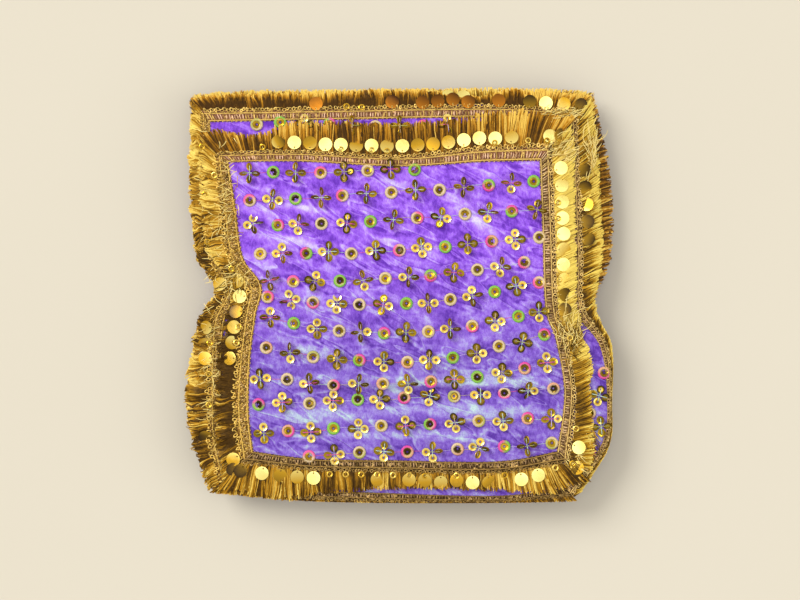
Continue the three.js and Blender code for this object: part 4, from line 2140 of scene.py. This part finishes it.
TOP = Stretch(
    name="top",
    level=5.4,
    droop=0.02,
    cells=150,
    flat=(0.232, 0.222),
    edges={
        Side.FRONT: (
            (-101, -108, 9, 14), (-62, -113, 9, 14), (-10, -114, 9, 10), (66, -115, 9, 10),
            (108, -108, 9, 18),
        ),
        Side.RIGHT: (
            (-108, 108, 10, 22), (-68, 113, 9, 16), (-31, 107, 9, 10), (-10, 100, 10, 15),
            (40, 98, 10, 17), (92, 96, 10, 17),
        ),
        Side.BACK: (
            (96, 92, 13, 17), (55, 91, 12, 17), (0, 88, 9, 17), (-70, 91.5, 8.5, 16),
            (-118, 91, 8, 14),
        ),
        Side.LEFT: (
            (91, -118, 11, 12), (60, -113, 13, 11), (26, -108, 13, 10), (6, -95, 13, 7),
            (-14, -99, 11, 9), (-45, -103, 11, 9), (-80, -104, 12, 10), (-108, -101, 11, 12),
        ),
    },
    creases=(
        Crease((-112, 62), (-66, 46), 1.0, 3.5, 6, 1.5),
        Crease((-104, 46), (-50, 30), 1.6, 4, 7, 2), Crease((-105, 25), (-66, 9), 1.2, 3, 6, 1),
        Crease((-96, 6), (-46, -9), 1.9, 3.5, 7, 2), Crease((-88, 2), (-60, -24), -0.9, 4, 4, 1),
        Crease((-90, -20), (-62, -36), 0.7, 4, 5, -1),
        Crease((-66, -62), (104, -64), 2.1, 7, 2.4, 1.5),
        Crease((-30, -68), (96, -70), -0.9, 2.6, 4, 1),
        Crease((-92, -83), (96, -86), 1.4, 8, 5, -1), Crease((-80, -99), (60, -101), 0.8, 6, 4, 1),
        Crease((22, -46), (66, -24), 1.4, 4, 7, -1), Crease((6, -50), (40, -40), 0.6, 4, 5, 1),
        Crease((70, -14), (98, -34), 1.6, 4, 6, 1), Crease((84, -38), (108, -50), 1.2, 4, 5, 1),
        Crease((60, -6), (94, -16), 0.8, 3, 5, 2), Crease((-34, 8), (-8, -14), 0.7, 4, 6, 1),
        Crease((-20, 60), (10, 44), 0.6, 4, 6, 1), Crease((30, 76), (72, 82), 0.5, 4, 6, 1),
        Crease((48, 30), (76, 12), 0.6, 4, 5, 1),
    ),
    crushed=(
        Crease((-94, 63), (-38, 55), 0.9, 1.5, 3, 1.2),
        Crease((-91, 42), (-58, 32), 0.8, 1.4, 3, 1),
        Crease((-113, 37), (-97, 32), -1.1, 1.8, 3, 0),
        Crease((-106, 20), (-79, 3), -1.1, 1.8, 3, 1), Crease((-72, 12), (-40, 3), -0.8, 1.6, 4, 1),
        Crease((-20, 40), (24, 30), 0.7, 1.4, 5, 1), Crease((10, 8), (44, -8), -0.8, 1.6, 5, 1),
        Crease((36, 60), (70, 40), 0.8, 1.5, 4, 1), Crease((-84, -28), (-52, -40), 0.7, 1.5, 5, -1),
        Crease((58, -70), (100, -74), -0.9, 2.0, 5, 1),
        Crease((-60, -68), (-8, -72), -0.8, 2.0, 5, 1),
        Crease((-114, 60), (-66, 47), 0.55, 2.2, 3, 1.5),
        Crease((-106, 43), (-58, 32), 0.5, 2, 3, 1.5), Crease((-106, 26), (-80, 15), 0.5, 2, 3, 1),
        Crease((-94, 4), (-56, -8), 0.4, 2, 4, 1), Crease((-72, -58), (16, -60), 0.5, 5, 4, 1),
        Crease((10, -60), (110, -61), 0.5, 4, 3, 0), Crease((-30, -79), (104, -80), 0.6, 4, 5, 1),
        Crease((-60, -97), (50, -98), 0.55, 4, 5, 0), Crease((-84, -86), (-30, -84), 0.3, 4, 5, 0),
        Crease((26, -44), (62, -26), 0.35, 4, 5, 0), Crease((72, -28), (104, -40), 0.5, 6, 5, 2),
        Crease((-40, -26), (0, -34), 0.3, 8, 7, 2), Crease((-104, -70), (-60, -66), -0.2, 9, 9, 0),
        Crease((70, -92), (104, -96), -0.2, 7, 7, 0), Crease((-14, 62), (14, 74), 0.25, 9, 8, 2),
        Crease((-50, 74), (-10, 78), -0.15, 9, 9, 0),
    ),
    crumple=0.45,
)

SECOND = Stretch(
    name="second",
    level=3.6,
    droop=0.1,
    cells=84,
    flat=(0.270, 0.268),
    edges={
        Side.FRONT: (
            (-116, -125, 8, 6), (-70, -134, 7, 2), (-10, -137, 6.5, 1), (66, -139, 4.5, 1),
            (114, -134, 6, 4),
        ),
        Side.RIGHT: (
            (-134, 114, 6, 4), (-104, 139, 4, 2), (-72, 143, 3, 1), (-36, 138, 6, 3),
            (-8, 119, 9, 8), (30, 118, 9, 14), (119, 114, 9, 14),
        ),
        Side.BACK: (
            (114, 119, 10, 11), (60, 122, 10, 10), (-40, 120.5, 10, 10), (-131, 119, 10, 9),
        ),
        Side.LEFT: (
            (119, -131, 8, 8), (60, -129, 8, 9), (26, -125, 8, 8), (3, -113, 9, 7),
            (-20, -121, 11, 8), (-60, -123, 11, 14), (-100, -122, 11, 12), (-125, -116, 10, 9),
        ),
    },
    creases=(
        Crease((126, -40), (142, -96), 0.6, 4, 5, 1), Crease((-126, 40), (-118, 96), 0.5, 4, 5, 1),
        Crease((-60, 118), (40, 117), 0.4, 3, 4, 0.5),
    ),
    crushed=(Crease((128, -40), (140, -110), 0.45, 4, 5, 1),),
    crumple=0.4,
)

THIRD = Stretch(
    name="third",
    level=0.3,
    droop=0.6,
    cells=64,
    flat=(0.268, 0.266),
    edges={
        Side.FRONT: (
            (-114, -124, 8, 8), (0, -131, 8, 4), (112, -125, 8, 7),
        ),
        Side.RIGHT: (
            (-125, 112, 8, 7), (-66, 128, 8, 8), (-12, 117, 9, 9), (24, 126, 9, 12),
            (76, 127, 9, 12), (124, 118, 9, 11),
        ),
        Side.BACK: (
            (118, 124, 9, 10), (0, 124, 9, 10), (-130, 122, 9, 10),
        ),
        Side.LEFT: (
            (122, -130, 8, 9), (60, -129, 8, 9), (26, -126, 8, 8), (3, -115, 8, 6),
            (-24, -125, 8, 10), (-80, -131, 9, 9), (-124, -114, 9, 9),
        ),
    },
    creases=(Crease((-80, -120), (60, -118), 0.4, 5, 5, 1),),
    crumple=0.4,
)

TOP_LOOK = {
    Side.FRONT: Dressing(
        Weave.BRONZE, 0.53, "dbogbrrrgrgggoborbbrd", start=3.6, step=10.94, reach=1.2, root_shade_tip_light=0.05,
        variety=0.22,
        patches=(
            Patch(0.06, 0.16, -0.28, 0.45), Patch(0.45, 0.2, -0.3), Patch(0.86, 0.08, 0.1, 0.1),
            Patch(1.0, 0.06, -0.35, -0.3),
        ),
    ),
    Side.RIGHT: Dressing(
        Weave.ANTIQUE, 1.04, "gbr-----r-ddgbgbbbbb", start=1.0, step=10.3, slant=6.0, layers=4,
        reach=0.84, root_shade_tip_light=0.42, variety=0.22,
        patches=(
            Patch(0.02, 0.07, -0.75), Patch(0.2, 0.13, -0.72, -0.2), Patch(0.29, 0.06, 0.12, 0.5),
            Patch(0.42, 0.09, -0.6, 0.3), Patch(0.97, 0.06, -0.1, 0.2),
        ),
    ),
    Side.BACK: Dressing(
        Weave.DUSKY, 0.32, "dbrgbbbgoobgbgbbobor", start=-6.4, step=10.6, out=4.8, slant=0.5,
        reach=1.22, root_shade_tip_light=0.3, variety=0.18,
        patches=(
            Patch(0.1, 0.17, 0.1, 0.2), Patch(0.55, 0.22, -0.1, 0.1), Patch(0.87, 0.06, -0.1, -0.4),
        ),
    ),
    Side.LEFT: Dressing(
        Weave.GOLDEN, 0.5, "-r-----rgbdggo-----gd", start=3.8, out=3.2, reach=1.12, variety=0.2,
        crumpled=0.4,
        patches=(
            Patch(0.36, 0.05, -0.6), Patch(0.76, 0.2, -0.82, 0.2), Patch(0.15, 0.12, 0.25),
        ),
    ),
}
SECOND_LOOK = {
    Side.FRONT: Dressing(Weave.BRONZE, 0.2, layers=2),
    Side.RIGHT: Dressing(
        Weave.ANTIQUE, 0.5, "----------------ndond", step=11.47, out=3.2, lift=-0.4, slant=6.0,
        root_shade_tip_light=0.8, crumpled=0.08, patches=(Patch(0.62, 0.06, -0.35), Patch(0.97, 0.1, 0.25)),
    ),
    Side.BACK: Dressing(
        Weave.DUSKY, 0.14, "dgbn-c-cccc-c-rr-c", start=-2.0, step=10.5, out=1.9, lift=-0.1,
        slant=0.5, reach=1.1, root_shade_tip_light=0.7, variety=0.18, crumpled=0.08,
        patches=(Patch(0.1, 0.09, 0.5), Patch(0.37, 0.075, 0.0, -0.55)),
    ),
    Side.LEFT: Dressing(
        Weave.GOLDEN, 0.5, "-r--r--r--g--gggr-r-d-", start=12.9, step=10.7, out=1.4, variety=0.22,
        crumpled=0.5,
        patches=(
            Patch(0.47, 0.06, -0.35), Patch(0.74, 0.2, -0.22), Patch(0.08, 0.06, 0.25),
            Patch(0.25, 0.09, -0.35),
        ),
    ),
}
THIRD_LOOK = {
    Side.FRONT: Dressing(Weave.BRONZE, 0.25, layers=2),
    Side.RIGHT: Dressing(Weave.DUSKY, 0.3, out=2.0, slant=3.0, layers=2),
    Side.BACK: Dressing(
        Weave.GOLDEN, 0.6, "--r----bbb--r----r--", start=3.0, out=4.4, slant=0.5, reach=1.1,
        root_shade_tip_light=0.6,
    ),
    Side.LEFT: Dressing(
        Weave.GOLDEN, 0.5, "-----------r-r---o-bg", start=7.8, step=10.6, out=2.0, crumpled=0.45,
    ),
}
TOP_TANGLES = (
    Tangle((108, 98), (5, 4), 40, 20, 13, 45, 0.9), Tangle((114, -28), (4, 9), 60, 40, 9, 80, 0.6),
    Tangle((122, -34), (3, 7), 100, 30, 9, 60, 0.35),
    Tangle((120, -116), (4, 4), -40, 25, 7, 30, 0.5),
    Tangle((-118, 60), (4, 22), 200, 40, 7, 90, 0.8),
    Tangle((-114, 12), (5, 6), 230, 50, 8, 80, 0.6),
)
SECOND_TANGLES = (
    Tangle((-131, 66), (3, 26), 190, 45, 6, 80, 0.8),
    Tangle((-129, -50), (4, 28), 170, 45, 7, 90, 0.7),
    Tangle((133, 96), (2.5, 8), 85, 22, 9, 60, 1.0), Tangle((110, 124), (9, 2), 20, 25, 9, 40, 1.0),
    Tangle((130, -100), (3, 5), -72, 22, 7, 80, 0.4),
)

ROWS = (
    MotifRow((-103.8, 84.2), (-6.6, 86.4), (92.8, 95.0), Motif.FLOWER, 0.1, "gpcg.."),
    MotifRow((-103.2, 65.2), (-6.0, 70.4), (93.2, 77.6), Motif.RING, 0.12, "pgpccmg"),
    MotifRow((-100.9, 47.1), (-4.3, 51.4), (94.0, 59.2), Motif.FLOWER, 0.22, "mcgpcm"),
    MotifRow((-97.8, 28.1), (-0.9, 30.7), (95.2, 40.2), Motif.RING, 0.35, "cmcpg.c"),
    MotifRow((-90.6, 9.1), (6.0, 12.1), (100.0, 24.7), Motif.FLOWER, 0.25, "pgcmc."),
    MotifRow((-91.4, -2.0), (4.0, -6.4), (95.2, 8.3), Motif.RING, 0.35, "ppcgcgp"),
    MotifRow((-88.8, -16.7), (4.3, -26.2), (95.7, -10.7), Motif.FLOWER, 0.3, "gcmcpg"),
    MotifRow((-91.9, -36.6), (4.8, -46.1), (100.0, -27.1), Motif.RING, 0.4, "aomagcm"),
    MotifRow((-95.7, -57.3), (4.8, -61.5), (101.8, -46.9), Motif.FLOWER, 0.35, "cparg."),
    MotifRow((-97.5, -75.4), (3.8, -71.5), (105.7, -65.6), Motif.RING, 0.5, "mcgropa"),
    MotifRow((-93.5, -95.2), (4.0, -89.7), (105.2, -84.9), Motif.FLOWER, 0.5, "rgcmor"),
    MotifRow((-96.6, -112.5), (5.2, -108.2), (104.4, -103.5), Motif.RING, 0.3, "..oramo"),
)
STRAYS = (
    (-99.0, 117.5, Motif.RING), (-82.8, 119.0, Motif.RING), (-66.0, 117.5, Motif.FLOWER),
    (-48.6, 117.8, Motif.RING), (-33.0, 116.8, Motif.FLOWER), (-17.0, 116.0, Motif.RING),
    (0.0, 116.5, Motif.FLOWER), (16.0, 116.5, Motif.RING), (33.0, 117.5, Motif.FLOWER),
    (141.0, -54.2, Motif.RING), (137.5, -70.0, Motif.FLOWER), (139.0, -91.0, Motif.FLOWER),
    (131.0, -108.0, Motif.RING), (131.0, -82.0, Motif.RING), (-76.0, -134.5, Motif.RING),
)


SENSOR = 36


@dataclass
class Studio:
    """A plain pale floor, a soft studio light and a camera straight above.

    The camera looks down on the middle, at a distance over the level, where it takes in
    the width. All are in metres.
    """

    middle: Point = (0.0, -0.0038)
    level: float = 0.027
    width: float = 0.552
    distance: float = 1.5

    def _floor(self) -> None:
        """Lay the floor."""
        bm = bmesh.new()
        bmesh.ops.create_grid(bm, x_segments=1, y_segments=1, size=3.0)
        mesh = finished(bm)
        floor = bpy.data.objects.new("studio_floor", mesh)
        bpy.context.scene.collection.objects.link(floor)
        graph = Graph("pale_floor")
        cloudy = graph.noise(graph.place(), 3.0, detail=2.0)
        colour = graph.ramp(
            cloudy, ((0.3, (0.545, 0.50, 0.405)), (0.7, (0.553, 0.508, 0.413)))
        )
        graph.put(
            graph.shader, {"Base Color": colour, "Roughness": 0.9, "Specular IOR Level": 0.1},
        )
        mesh.materials.append(graph.material)
        floor.location.z = -0.0002

    def _softbox(self, name: str, place: Place, size: Point, power: float) -> None:
        """Hang a softbox that faces the packet.

        Args:
            name: Its name.
            place: Where it hangs.
            size: Its width and height.
            power: Its power, in watts.
        """
        light = bpy.data.lights.new(name, "AREA")
        light.shape = "RECTANGLE"
        light.size, light.size_y = size
        light.energy = power
        hung = bpy.data.objects.new(name, light)
        hung.location = place
        aim = Vector((0, 0, self.level)) - Vector(place)
        hung.rotation_euler = aim.to_track_quat("-Z", "Y").to_euler()
        bpy.context.scene.collection.objects.link(hung)

    def _sun(self, name: str, place: Place, width: float, strength: float) -> None:
        """Hang a broad even light.

        Args:
            name: Its name.
            place: Where it shines from.
            width: How wide it looks, in degrees.
            strength: Its strength.
        """
        light = bpy.data.lights.new(name, "SUN")
        light.angle = math.radians(width)
        light.energy = strength
        hung = bpy.data.objects.new(name, light)
        hung.rotation_euler = (-Vector(place)).to_track_quat("-Z", "Y").to_euler()
        bpy.context.scene.collection.objects.link(hung)

    def _camera(self) -> None:
        """Set the camera straight above the packet."""
        lens = bpy.data.cameras.new("camera")
        lens.sensor_width = SENSOR
        lens.lens = SENSOR * self.distance / self.width
        camera = bpy.data.objects.new("camera", lens)
        camera.location = (*self.middle, self.level + self.distance)
        bpy.context.scene.collection.objects.link(camera)
        bpy.context.scene.camera = camera

    def build(self) -> None:
        """Set the floor, the lights and the camera."""
        self._floor()
        self._camera()
        self._softbox("overhead", (0.06, 0.1, 2.1), (1.15, 0.9), 4.8)
        self._sun("left_window", (-1.3, 1.0, 1.35), 34, 2.4)
        self._sun("right_fill", (1.6, -0.5, 1.0), 40, 0.5)
        world = bpy.data.worlds.new("studio")
        world.use_nodes = True
        backdrop = world.node_tree.nodes["Background"]
        backdrop.inputs["Color"].default_value = (1.0, 0.985, 0.96, 1.0)
        backdrop.inputs["Strength"].default_value = 0.88
        bpy.context.scene.world = world
        bpy.context.scene.view_settings.view_transform = "Standard"
        LOG.info("studio set")


def main() -> None:
    """Build the packet, its dressing and the studio."""
    logging.basicConfig(level=logging.INFO, format="%(name)s: %(message)s")
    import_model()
    Studio().build()
    finishes = make_finishes()
    HiddenLayers(THIRD, finishes).build()
    embroidery = Embroidery(TOP, SECOND, finishes, ROWS, STRAYS).build()
    looks = (
        (THIRD, THIRD_LOOK, ()), (SECOND, SECOND_LOOK, SECOND_TANGLES),
        (TOP, TOP_LOOK, TOP_TANGLES),
    )
    for stretch, look, tangles in looks:
        cloth = Cloth(stretch, finishes).build()
        trims = [
            Braid(stretch, look, finishes).build(),
            Fringe(stretch, look, finishes, tangles).build(),
            EdgeSequins(stretch, look, finishes).build(),
        ]


if __name__ == "__main__":
    main()
